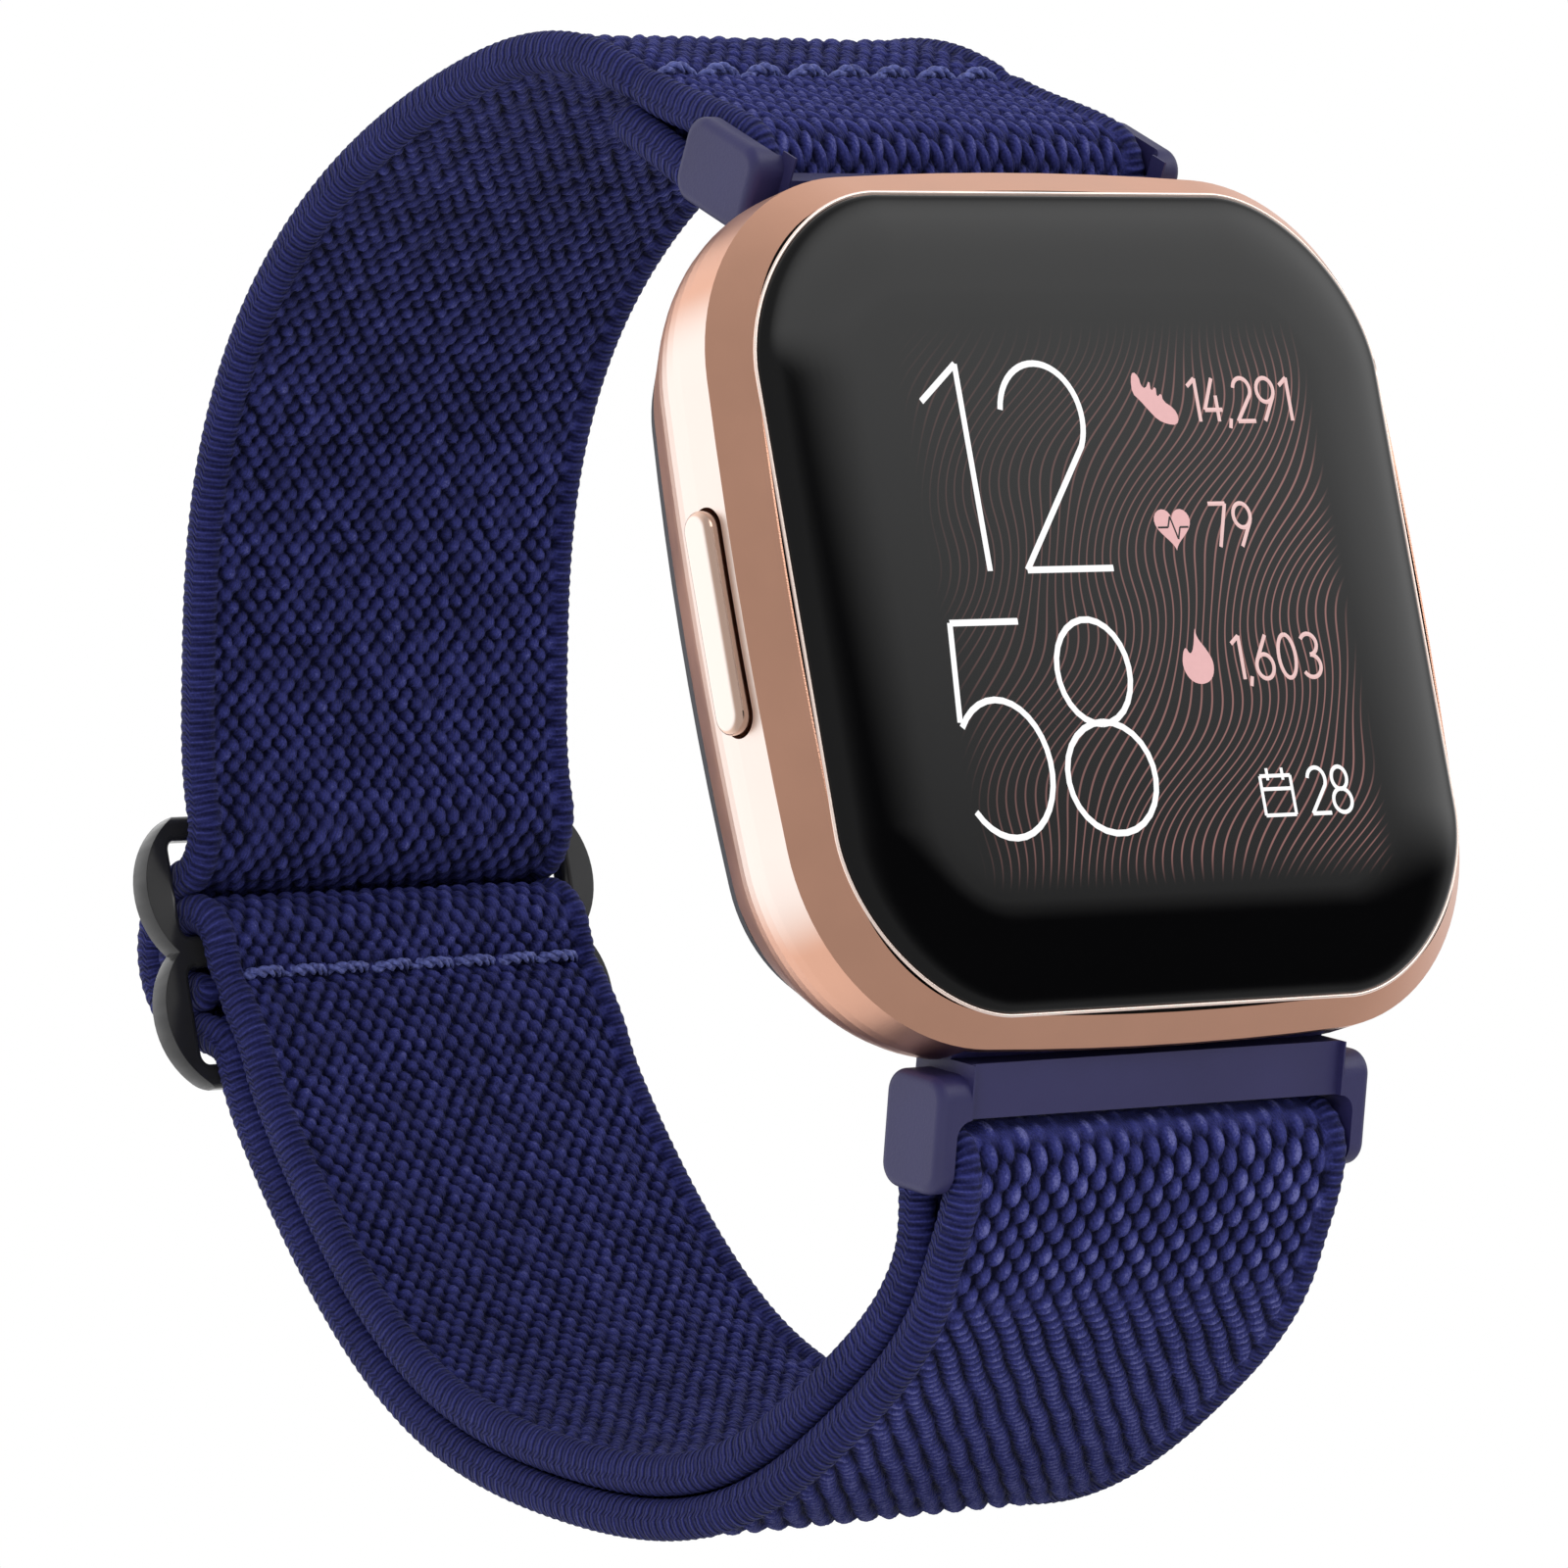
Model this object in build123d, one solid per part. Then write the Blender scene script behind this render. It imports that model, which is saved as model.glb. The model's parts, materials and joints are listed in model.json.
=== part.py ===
from build123d import *
from math import cos, pi, radians, sin
import os

# Fitness tracker on an adjustable elastic band, in millimetres.
# +Z points to 12 o'clock, -Y out of the screen and +X to the right as the screen is read.
# The origin is the centre of the sensor window on the wrist face.
# Inside the case a "height" is a distance in front of that face, so a height of 5 is y = -5.

# ---- driving dimensions: case ----
CASE_HALF_WIDTH = 19.9
CASE_HALF_HEIGHT = 20.0
CASE_CORNER = 9.7
SIDE_BULGE = 0.9            # how far the middle of each side stands out from its corners
CASE_BACK = 2.2             # height of the joint between case and back cover
CASE_FRONT = 11.2           # height of the rim around the glass
FRONT_BEVEL_DEPTH = 1.6
FRONT_BEVEL_WIDTH = 1.45
BACK_TAPER_DEPTH = 4.1
BACK_TAPER_WIDTH = 2.6
WALL_ROUNDING = 1.5         # reach of the soft edge between the side wall and the back taper
WALL_ROUNDING_INSET = WALL_ROUNDING * BACK_TAPER_WIDTH / BACK_TAPER_DEPTH
WALL_ROUNDING_STEPS = 5
CAVITY_HALF_WIDTH = 16.8
CAVITY_HALF_HEIGHT = 15.2
CAVITY_CORNER = 4.0
GLASS_SHELF = 10.4          # height of the ledge under the glass
SOUND_HOLE_RADIUS = 0.35
SOUND_HOLE_Z = -6.0
FIT_GAP = 0.05

# ---- driving dimensions: glass and display ----
GLASS_HALF_WIDTH = 18.3
GLASS_HALF_HEIGHT = 18.75
GLASS_CORNER = 8.3
GLASS_BACK = 10.6
GLASS_EDGE = 11.25          # height at which the glass starts to curve in
GLASS_DOME_RISE = 0.85
GLASS_DOME_REACH = 4.0      # how far in from the edge the curve runs
GLASS_DOME_STEPS = 6
DISPLAY_HALF_WIDTH = 13.6
DISPLAY_HALF_HEIGHT = 13.9
DISPLAY_CORNER = 3.0
DISPLAY_BACK = 9.3
DISPLAY_FRONT = 10.58

# ---- driving dimensions: inside the case ----
BOARD_HALF_WIDTH = 14.0
BOARD_HALF_HEIGHT = 13.6
BOARD_BACK = 7.0
BOARD_FRONT = 7.9
FRAME_PLATE_BACK = 8.3
FRAME_PLATE_FRONT = 9.1
SCREW_X = 12.4
SCREW_Z = 12.0
SCREW_RADIUS = 0.5
SCREW_BOSS_RADIUS = 1.2
SCREW_HEAD_RADIUS = 1.0
SCREW_HEAD = 0.6
BATTERY_BACK = 3.4
BATTERY_FRONT = 6.8
FLEX_THICKNESS = 0.15
FLEX_BEND = 0.8             # how far the display ribbon swings out past the display

# ---- driving dimensions: back cover and sensor ----
COVER_BACK = 0.9
COVER_BOSS_HEIGHT = 0.3
COVER_BOSS_RADIUS = 12.6
COVER_BOSS_SLOPE = 1.2
COVER_EDGE_BEVEL = 0.8
SPIGOT_TOP = 3.0
SPIGOT_HALF_WIDTH = 16.1
SPIGOT_HALF_HEIGHT = 14.5
WINDOW_RADIUS = 8.0
WINDOW_THICKNESS = 1.2
WINDOW_LEDGE_RADIUS = 7.2
CONTACT_RADIUS = 0.8
CONTACT_SPACING = 2.5
CONTACT_Z = 9.6
CONTACT_FACE = 0.15
SENSOR_BOARD_BACK = 2.5

# ---- driving dimensions: side button ----
BUTTON_HEIGHT = 8.1         # height of the button's middle
BUTTON_LENGTH = 10.3
BUTTON_WIDTH = 2.1
BUTTON_GAP = 0.15
BUTTON_PROUD = 0.65
BUTTON_POCKET_DEPTH = 1.7
BUTTON_CAP_DEPTH = 1.6
STEM_RADIUS = 0.7
STEM_TIP_X = -15.7
SEAL_X = -17.6
SEAL_NECK_RADIUS = 0.45
CLIP_X = -16.7
CLIP_THICKNESS = 0.35
CLIP_NECK_RADIUS = 0.45
SWITCH_X = -15.1
DOME_RISE = 0.5
DOME_ALIGN = (Align.CENTER, Align.CENTER, Align.MIN)

# ---- driving dimensions: band connectors and their spring bars ----
PIVOT_HEIGHT = 7.0
PIVOT_Z = 17.9
TOP_LEAN = 52.0             # degrees folded towards the wrist from flush with the case
BOTTOM_LEAN = 22.0
RECESS_HALF_WIDTH = 11.25
RECESS_RADIUS = 2.1
KNUCKLE_RADIUS = 1.9
NECK_HALF_WIDTH = 10.9
NECK_START = 1.45           # distance from the pivot at which the neck's front part begins
FRAME_HALF_WIDTH = 12.6
FRAME_FRONT = 2.95          # distance of the frame's front face in front of the pivot
FRAME_BACK = -1.05
FRAME_START = 2.0
FRAME_END = 7.3
FRAME_ROUNDING = 1.1
FRAME_EDGE = 0.45
SLOT_HALF_WIDTH = 11.6
TOP_BAR_OUT = 5.1          # the 12 o'clock connector's bar sits closer to the case
SLOT_TO_BAR = 2.7           # from the slot's edge to the middle of the bar
SLOT_CORNER = 0.8
TOP_BEAM_FRONT = 1.9        # the beam beside the slot sits lower than the ends of the frame
BOTTOM_BEAM_FRONT = 2.6
STRAP_BAR_FORWARD = 0.95    # middle of the bar that the band loops over
BOTTOM_BAR_OUT = 6.6
STRAP_BAR_SIZE = 1.2
TUBE_RADIUS = 0.8
TUBE_BORE = 0.5
TUBE_LEFT = -10.4
TUBE_RIGHT = 9.4
TIP_RADIUS = 0.4
TIP_END = 12.15
TIP_HOLE_RADIUS = 0.45
TIP_HOLE_END = 12.45
SHANK_RADIUS = 0.48
SHANK_START = 3.0
PLUG_END = -8.4
LEVER_X = 5.7
LEVER_THICKNESS = 1.0
LEVER_WIDTH = 0.7
LEVER_REACH = 2.8
LEVER_ANGLE = 53.0          # degrees from straight out to the wrist side
LEVER_TRAVEL = 1.3
SPRING_WIRE_RADIUS = 0.07
SPRING_COIL_RADIUS = 0.36
SPRING_PITCH = 0.95

# ---- driving dimensions: band and slider ----
BAND_HALF_WIDTH = 11.4
PLY = 1.75                  # thickness of one layer of band
PLY_GAP = 0.3               # between the two layers of the doubled half
LOOP_RADIUS = 1.55          # middle of the band's thickness, around a connector's bar
TOP_RUN = [                 # middle of the single layer, from above the connector to the slider
    (0.8, 26.35), (4.9, 29.3), (9.0, 30.95), (15.8, 31.35), (27.2, 29.0),
    (35.0, 24.3), (40.4, 17.2), (43.3, 9.4), (44.55, 3.2),
]
LOWER_RUN = [               # between the two layers, from the slider to the bottom connector
    (44.25, -9.4), (43.3, -12.8), (40.3, -19.4), (34.5, -27.2),
    (25.1, -32.6), (14.0, -35.1), (3.6, -32.6), (-3.3, -28.2),
]
LOWER_RUN_START = (-0.12, -1.0)   # directions in (y, z)
LOWER_RUN_END = (-0.6, 0.8)
FLAP_END = (4.2, 26.45)     # cut end of the band, sewn under the single layer
FLAP_END_HEADING = (-0.79, -0.61)
TOP_SEAM = 8.6              # distance of the seam from the connector's bar, along the band
TOP_FLEX = 13.0             # length beyond the seam that bends when the connector turns
UPPER_STRETCH = 7.0         # length above the slider that gives when the slider moves
LOWER_STRETCH = 8.0
BOTTOM_FLEX = 10.0
SLIDER_LOOP_RADIUS = 1.9    # middle of the layer sewn round the slider's middle bar
SLIDER_LOOP_END = -115.0    # angle at which the sewn layer meets itself again
SLIDER_SEAM_Z = -4.9
BUCKLE_FRONT_Y = 46.2
BUCKLE_THICKNESS = 1.2
BUCKLE_Z = -3.1             # middle bar
BUCKLE_BAR = 1.6
BUCKLE_OPENING = 4.7
BUCKLE_END_BAR = 1.2
BUCKLE_WAIST_HALF_WIDTH = 12.2
BUCKLE_LOBE_HALF_WIDTH = 13.5
BUCKLE_OPENING_HALF_WIDTH = 11.75
BUCKLE_END_HALF_WIDTH = 11.2
THREAD_RADIUS = 0.17
THREAD_LENGTH = 1.0
THREAD_COUNT = 15
THREAD_GAP = 0.03

BAND_STEP = 1.2             # spacing of the points that a layer's surfaces pass through
TURN_STEP = 0.45            # the same, where the band turns tightly round a bar


# ---- helpers ----
def outline(half_width, half_height, corner, bulge=SIDE_BULGE):
    """Front view of the case or glass: four slightly bulged sides with round corners."""
    x, z = half_width - bulge, half_height - bulge
    sides = [
        ThreePointArc((-x, z), (0, half_height), (x, z)),
        ThreePointArc((x, z), (half_width, 0), (x, -z)),
        ThreePointArc((x, -z), (0, -half_height), (-x, -z)),
        ThreePointArc((-x, -z), (-half_width, 0), (-x, z)),
    ]
    face = make_face(sides)
    return fillet(face.vertices(), corner)


def slab(sketch, low, high):
    """A front-view sketch made solid between two heights."""
    return extrude(Plane.XZ.offset(low) * sketch, high - low)


def stacked(half_width, half_height, corner, steps):
    """A solid through case-shaped sections, each given by its height and how far it is drawn in."""
    sections = [
        Plane.XZ.offset(height) * outline(half_width - inset, half_height - inset, corner - inset)
        for height, inset in steps
    ]
    return loft(sections, ruled=True)


def rounded_box(half_width, half_height, corner, low, high, x=0.0, z=0.0):
    """A plate with round corners between two heights."""
    return slab(Pos(x, z) * RectangleRounded(2 * half_width, 2 * half_height, corner), low, high)


def block(x0, x1, z0, z1, low, high):
    """A box given by its sides in x and z and its two heights."""
    return Pos((x0 + x1) / 2, -(low + high) / 2, (z0 + z1) / 2) * Box(x1 - x0, high - low, z1 - z0)


def rod_x(radius, x0, x1, y=0.0, z=0.0):
    """A round bar along x."""
    return Pos((x0 + x1) / 2, y, z) * Rot(Y=90) * Cylinder(radius, x1 - x0)


def disc(radius, low, high, x=0.0, z=0.0):
    """A round plate facing the wrist, between two heights."""
    return Pos(x, -(low + high) / 2, z) * Rot(X=90) * Cylinder(radius, high - low)


def along_x(profile, x0, x1):
    """A sketch in (y, z) made solid from x0 to x1."""
    return extrude(Plane.YZ.offset(x0) * profile, x1 - x0)


def rectangle_between(y0, y1, z0, z1):
    """A rectangle in (y, z)."""
    return Pos((y0 + y1) / 2, (z0 + z1) / 2) * Rectangle(abs(y1 - y0), abs(z1 - z0))


# ---- case, glass and display ----
def wall_steps():
    """Heights and insets of the case from its back joint to the rim round the glass."""
    wall_back = CASE_BACK + BACK_TAPER_DEPTH
    wall_front = CASE_FRONT - FRONT_BEVEL_DEPTH
    steps = [(CASE_BACK, BACK_TAPER_WIDTH)]
    for k in range(WALL_ROUNDING_STEPS + 1):
        along = k / WALL_ROUNDING_STEPS
        inset = WALL_ROUNDING_INSET * (1 - along) ** 2
        steps.append((wall_back - WALL_ROUNDING + 2 * WALL_ROUNDING * along, inset))
    steps.append((wall_front, 0.0))
    steps.append((CASE_FRONT, FRONT_BEVEL_WIDTH))
    return steps


def recess(side):
    """The notch in a case end (+1 at 12 o'clock) that a connector's knuckle turns in."""
    pivot_y, pivot_z = -PIVOT_HEIGHT, side * PIVOT_Z
    floor_z = side * (PIVOT_Z - RECESS_RADIUS)
    outside_z = side * (CASE_HALF_HEIGHT + 1)
    round_part = Pos(pivot_y, pivot_z) * Circle(RECESS_RADIUS)
    mouth = rectangle_between(pivot_y - RECESS_RADIUS, pivot_y + RECESS_RADIUS, pivot_z, outside_z)
    to_wrist = rectangle_between(pivot_y, 1.0, floor_z, outside_z)
    return along_x(round_part + mouth + to_wrist, -RECESS_HALF_WIDTH, RECESS_HALF_WIDTH)


def pill(length, width, x0, x1):
    """The button's shape, long way up z and rounded at both ends, made solid from x0 to x1."""
    return along_x(Pos(-BUTTON_HEIGHT, 0) * Rot(Z=90) * SlotOverall(length, width), x0, x1)


def case_body():
    shell = stacked(CASE_HALF_WIDTH, CASE_HALF_HEIGHT, CASE_CORNER, wall_steps())
    shell -= rounded_box(CAVITY_HALF_WIDTH, CAVITY_HALF_HEIGHT, CAVITY_CORNER, 0, GLASS_SHELF)
    seat = outline(GLASS_HALF_WIDTH + FIT_GAP, GLASS_HALF_HEIGHT + FIT_GAP, GLASS_CORNER + FIT_GAP)
    shell -= slab(seat, GLASS_SHELF, CASE_FRONT + 1)
    shell -= pill(BUTTON_LENGTH, BUTTON_WIDTH, -CASE_HALF_WIDTH - 1, -CASE_HALF_WIDTH + BUTTON_POCKET_DEPTH)
    shell -= rod_x(STEM_RADIUS + FIT_GAP, -CASE_HALF_WIDTH, -CAVITY_HALF_WIDTH + 1, y=-BUTTON_HEIGHT)
    shell -= rod_x(SOUND_HOLE_RADIUS, CAVITY_HALF_WIDTH - 1, CASE_HALF_WIDTH + 1, -BUTTON_HEIGHT, SOUND_HOLE_Z)
    for side in (1, -1):
        shell -= recess(side)
        shell -= rod_x(TIP_HOLE_RADIUS, -TIP_HOLE_END, TIP_HOLE_END, -PIVOT_HEIGHT, side * PIVOT_Z)
    return shell


def dome_steps():
    """Heights and insets of the glass from its edge in to the flat middle."""
    steps = [(GLASS_BACK, 0.0)]
    for k in range(GLASS_DOME_STEPS + 1):
        angle = pi / 2 * k / GLASS_DOME_STEPS
        height = GLASS_EDGE + GLASS_DOME_RISE * sin(angle)
        steps.append((height, GLASS_DOME_REACH * (1 - cos(angle))))
    return steps


def cover_glass():
    return stacked(GLASS_HALF_WIDTH, GLASS_HALF_HEIGHT, GLASS_CORNER, dome_steps())


def glass_seal():
    """Black border and adhesive under the edge of the glass, up to the display."""
    ring = outline(GLASS_HALF_WIDTH - FIT_GAP, GLASS_HALF_HEIGHT - FIT_GAP, GLASS_CORNER - FIT_GAP)
    window = RectangleRounded(2 * DISPLAY_HALF_WIDTH + 0.1, 2 * DISPLAY_HALF_HEIGHT + 0.1, DISPLAY_CORNER)
    ring -= window
    return slab(ring, GLASS_SHELF, GLASS_BACK)


def display_panel():
    return rounded_box(DISPLAY_HALF_WIDTH, DISPLAY_HALF_HEIGHT, DISPLAY_CORNER, DISPLAY_BACK, DISPLAY_FRONT)


def display_flex():
    """Ribbon from the lower edge of the display, round the frame to the main board."""
    outer = -DISPLAY_HALF_HEIGHT - FLEX_BEND
    inner = outer + FLEX_THICKNESS
    ribbon = block(-5, 5, outer, inner, BOARD_BACK, DISPLAY_BACK + 0.4)
    ribbon += block(-5, 5, inner, -DISPLAY_HALF_HEIGHT, DISPLAY_BACK + 0.25, DISPLAY_BACK + 0.4)
    ribbon += block(-5, 5, inner, -BOARD_HALF_HEIGHT, BOARD_BACK, BOARD_BACK + FLEX_THICKNESS)
    return ribbon


# ---- inside the case ----
def screw_places():
    return [(x, z) for x in (-SCREW_X, SCREW_X) for z in (-SCREW_Z, SCREW_Z)]


def mid_frame():
    """Plastic plate that backs the display and holds the main board."""
    plate = rounded_box(BOARD_HALF_WIDTH, BOARD_HALF_HEIGHT, 3.0, FRAME_PLATE_BACK, FRAME_PLATE_FRONT)
    for x, z in screw_places():
        plate += disc(SCREW_BOSS_RADIUS, BOARD_FRONT, FRAME_PLATE_BACK, x, z)
        plate -= disc(SCREW_RADIUS + FIT_GAP, BOARD_FRONT, FRAME_PLATE_FRONT, x, z)
    return plate


def main_board():
    board = rounded_box(BOARD_HALF_WIDTH, BOARD_HALF_HEIGHT, 3.0, BOARD_BACK, BOARD_FRONT)
    for x, z in screw_places():
        board -= disc(SCREW_RADIUS + FIT_GAP, BOARD_BACK, BOARD_FRONT, x, z)
    return board


def frame_screws():
    screws = []
    for x, z in screw_places():
        head = disc(SCREW_HEAD_RADIUS, BOARD_BACK - SCREW_HEAD, BOARD_BACK, x, z)
        head -= disc(SCREW_RADIUS / 2, BOARD_BACK - SCREW_HEAD, BOARD_BACK - SCREW_HEAD / 2, x, z)
        screws.append(head + disc(SCREW_RADIUS, BOARD_BACK, FRAME_PLATE_FRONT - 0.2, x, z))
    return Compound(children=screws)


def processor_shield():
    """Folded metal can over the processor, open towards the board."""
    can = rounded_box(6.5, 4.0, 0.6, BOARD_BACK - 1.3, BOARD_BACK, -4.0, 8.8)
    return can - rounded_box(6.3, 3.8, 0.5, BOARD_BACK - 1.1, BOARD_BACK, -4.0, 8.8)


def processor():
    return block(-7.5, -1.5, 6.3, 11.3, BOARD_BACK - 0.8, BOARD_BACK)


def battery():
    cell = rounded_box(10.2, 8.6, 1.2, BATTERY_BACK, BATTERY_FRONT, 0.0, -4.6)
    return fillet(cell.edges().filter_by(Axis.Z), 0.5)


def vibration_motor():
    can = disc(3.9, BOARD_BACK - 2.7, BOARD_BACK - 0.1, 8.2, 8.6)
    return chamfer(can.edges().filter_by(GeomType.CIRCLE), 0.2)


def radio_antenna():
    """Strip aerial on the right wall of the cavity."""
    return block(CAVITY_HALF_WIDTH - 0.35, CAVITY_HALF_WIDTH - 0.1, -3.0, 9.0, 4.2, 9.0)


def microphone():
    can = block(14.9, 16.5, SOUND_HOLE_Z - 1.3, SOUND_HOLE_Z + 1.3, BUTTON_HEIGHT - 1.0, BUTTON_HEIGHT + 1.0)
    return can - rod_x(SOUND_HOLE_RADIUS, 15.9, 17.0, -BUTTON_HEIGHT, SOUND_HOLE_Z)


# ---- back cover and sensor ----
def back_cover():
    x, z = CASE_HALF_WIDTH - BACK_TAPER_WIDTH, CASE_HALF_HEIGHT - BACK_TAPER_WIDTH
    corner = CASE_CORNER - BACK_TAPER_WIDTH
    cover = stacked(x, z, corner, [(COVER_BACK, COVER_EDGE_BEVEL), (CASE_BACK, 0.0)])
    rim = Plane.XZ.offset(COVER_BACK) * Circle(COVER_BOSS_RADIUS)
    top = Plane.XZ.offset(COVER_BOSS_HEIGHT) * Circle(COVER_BOSS_RADIUS - COVER_BOSS_SLOPE)
    cover += loft([top, rim])
    cover += rounded_box(SPIGOT_HALF_WIDTH, SPIGOT_HALF_HEIGHT, 3.4, CASE_BACK, SPIGOT_TOP)
    cover -= disc(WINDOW_LEDGE_RADIUS, 0, SPIGOT_TOP)
    cover -= disc(WINDOW_RADIUS + FIT_GAP, 0, WINDOW_THICKNESS)
    for x in contact_places():
        cover -= disc(CONTACT_RADIUS + 0.02, 0, SPIGOT_TOP, x, CONTACT_Z)
    for side in (1, -1):
        cover -= recess(side)
    return cover


def contact_places():
    return [CONTACT_SPACING * (k - 1.5) for k in range(4)]


def back_gasket():
    ring = RectangleRounded(2 * SPIGOT_HALF_WIDTH + 1.3, 2 * SPIGOT_HALF_HEIGHT + 1.3, CAVITY_CORNER)
    ring -= RectangleRounded(2 * SPIGOT_HALF_WIDTH + 0.1, 2 * SPIGOT_HALF_HEIGHT + 0.1, 3.4)
    return slab(ring, CASE_BACK + 0.1, SPIGOT_TOP - 0.1)


def sensor_window():
    window = disc(WINDOW_RADIUS, 0, WINDOW_THICKNESS - 0.02)
    return fillet(window.edges().filter_by(GeomType.CIRCLE).sort_by(Axis.Y)[-1], 0.3)


def sensor_board():
    return disc(WINDOW_LEDGE_RADIUS - 0.2, SENSOR_BOARD_BACK, SENSOR_BOARD_BACK + 0.6)


def sensor_leds():
    low = SENSOR_BOARD_BACK - 0.4
    return Compound(children=[block(x - 0.8, x + 0.8, -0.5, 0.5, low, SENSOR_BOARD_BACK) for x in (-2.2, 0.0, 2.2)])


def photodiodes():
    low = SENSOR_BOARD_BACK - 0.4
    return Compound(children=[block(-1.5, 1.5, z - 1.1, z + 1.1, low, SENSOR_BOARD_BACK) for z in (-3.6, 3.6)])


def charging_contacts():
    pins = []
    for x in contact_places():
        pin = disc(CONTACT_RADIUS, CONTACT_FACE, SPIGOT_TOP, x, CONTACT_Z)
        pin += disc(CONTACT_RADIUS + 0.3, SPIGOT_TOP, SPIGOT_TOP + 0.25, x, CONTACT_Z)
        pins.append(fillet(pin.edges().filter_by(GeomType.CIRCLE).sort_by(Axis.Y)[-1], 0.15))
    return Compound(children=pins)


def sensor_flex():
    """Ribbon from the sensor board, up past the battery to the main board."""
    across = SENSOR_BOARD_BACK + 0.6
    wall_x = 11.2
    ribbon = block(4.0, wall_x, -3.0, 1.0, across, across + FLEX_THICKNESS)
    return ribbon + block(wall_x, wall_x + FLEX_THICKNESS, -3.0, 1.0, across, BOARD_BACK)


# ---- side button ----
def button_cap():
    face_x = -CASE_HALF_WIDTH - BUTTON_PROUD
    back_x = face_x + BUTTON_CAP_DEPTH
    cap = pill(BUTTON_LENGTH - 2 * BUTTON_GAP, BUTTON_WIDTH - 2 * BUTTON_GAP, face_x, back_x)
    cap = fillet(cap.edges().group_by(Axis.X)[0], 0.35)
    stem = rod_x(STEM_RADIUS, back_x, STEM_TIP_X, y=-BUTTON_HEIGHT)
    stem -= ring_x(STEM_RADIUS + 1, CLIP_NECK_RADIUS, CLIP_X, CLIP_X + CLIP_THICKNESS)
    stem -= ring_x(STEM_RADIUS + 1, SEAL_NECK_RADIUS, SEAL_X - 0.25, SEAL_X + 0.25)
    return cap + stem


def ring_x(outer, inner, x0, x1):
    """A ring round the button's stem."""
    return rod_x(outer, x0, x1, y=-BUTTON_HEIGHT) - rod_x(inner, x0, x1, y=-BUTTON_HEIGHT)


def button_seal():
    section = STEM_RADIUS - SEAL_NECK_RADIUS - 0.02
    return Pos(SEAL_X, -BUTTON_HEIGHT, 0) * Rot(Y=90) * Torus(SEAL_NECK_RADIUS + section / 2 + 0.01, section / 2)


def button_clip():
    """C-shaped clip that stops the button from leaving the case."""
    ring = ring_x(1.3, CLIP_NECK_RADIUS + 0.01, CLIP_X + 0.02, CLIP_X + CLIP_THICKNESS - 0.02)
    mouth = Pos(CLIP_X, -BUTTON_HEIGHT, -1.0) * Box(2 * CLIP_THICKNESS, 0.7, 2.0)
    return largest(ring - mouth)


def largest(shape):
    return max(shape.solids(), key=lambda solid: solid.volume)


def button_dome():
    """Snap dome between the stem and the switch."""
    outer = Pos(SWITCH_X, -BUTTON_HEIGHT, 0) * Rot(Y=-90) * Cone(1.3, 0.7, DOME_RISE, align=DOME_ALIGN)
    inner = Pos(SWITCH_X, -BUTTON_HEIGHT, 0) * Rot(Y=-90) * Cone(1.15, 0.5, DOME_RISE - 0.12, align=DOME_ALIGN)
    return outer - inner


def button_switch():
    return Pos(SWITCH_X + 0.35, -BUTTON_HEIGHT, 0) * Box(0.7, 2.8, 3.4)


# ---- band connectors: drawn upright, with the spring bar's axis at the origin ----
def connector(bar_out, beam_front):
    """Frame with a knuckle that fits the case and a cross bar that the band loops over."""
    slot_start = bar_out - SLOT_TO_BAR
    frame = along_x(
        rectangle_between(-FRAME_FRONT, -FRAME_BACK, FRAME_START, FRAME_END),
        -FRAME_HALF_WIDTH, FRAME_HALF_WIDTH,
    )
    frame = fillet(frame.edges().filter_by(Axis.X), FRAME_ROUNDING)
    frame = fillet(frame.faces().filter_by(Axis.X).edges(), FRAME_EDGE)
    neck = rectangle_between(-FRAME_FRONT, -FRAME_BACK, NECK_START, slot_start)
    knuckle = Circle(KNUCKLE_RADIUS) + rectangle_between(-0.6, -FRAME_BACK, 0, slot_start)
    frame += along_x(neck + knuckle, -NECK_HALF_WIDTH, NECK_HALF_WIDTH)
    slot_length = FRAME_END + 2 - slot_start
    slot = Pos(0, slot_start + slot_length / 2) * RectangleRounded(2 * SLOT_HALF_WIDTH, slot_length, SLOT_CORNER)
    frame -= slab(slot, FRAME_BACK - 1, FRAME_FRONT + 1)
    lowered = rectangle_between(-FRAME_FRONT - 1, -beam_front, NECK_START - 1, slot_start + SLOT_CORNER)
    frame -= along_x(lowered, SLOT_CORNER - SLOT_HALF_WIDTH, SLOT_HALF_WIDTH - SLOT_CORNER)
    bar = Pos(-STRAP_BAR_FORWARD, bar_out) * RectangleRounded(STRAP_BAR_SIZE, STRAP_BAR_SIZE, 0.48)
    frame += along_x(bar, -SLOT_HALF_WIDTH, SLOT_HALF_WIDTH)
    frame -= rod_x(TUBE_RADIUS + FIT_GAP, -NECK_HALF_WIDTH, NECK_HALF_WIDTH)
    return frame - lever_slot(LEVER_REACH + 1)


def lever_arm(reach, x0, x1, width):
    """A flat arm that leaves the spring bar's axis towards the wrist side."""
    arm = Pos((x0 + x1) / 2, 0, reach / 2) * Box(x1 - x0, width, reach)
    return Rot(X=-LEVER_ANGLE) * arm


def lever_slot(reach):
    start = LEVER_X - LEVER_THICKNESS / 2 - LEVER_TRAVEL - 0.2
    return lever_arm(reach, start, LEVER_X + LEVER_THICKNESS / 2 + 0.1, LEVER_WIDTH + 0.2)


def bar_tube():
    tube = rod_x(TUBE_RADIUS, TUBE_LEFT, TUBE_RIGHT) - rod_x(TUBE_BORE, TUBE_LEFT, TUBE_RIGHT)
    return tube - lever_slot(TUBE_RADIUS + 0.2)


def fixed_tip():
    return rod_x(SHANK_RADIUS, TUBE_LEFT, PLUG_END) + rod_x(TIP_RADIUS, -TIP_END, TUBE_LEFT)


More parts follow.
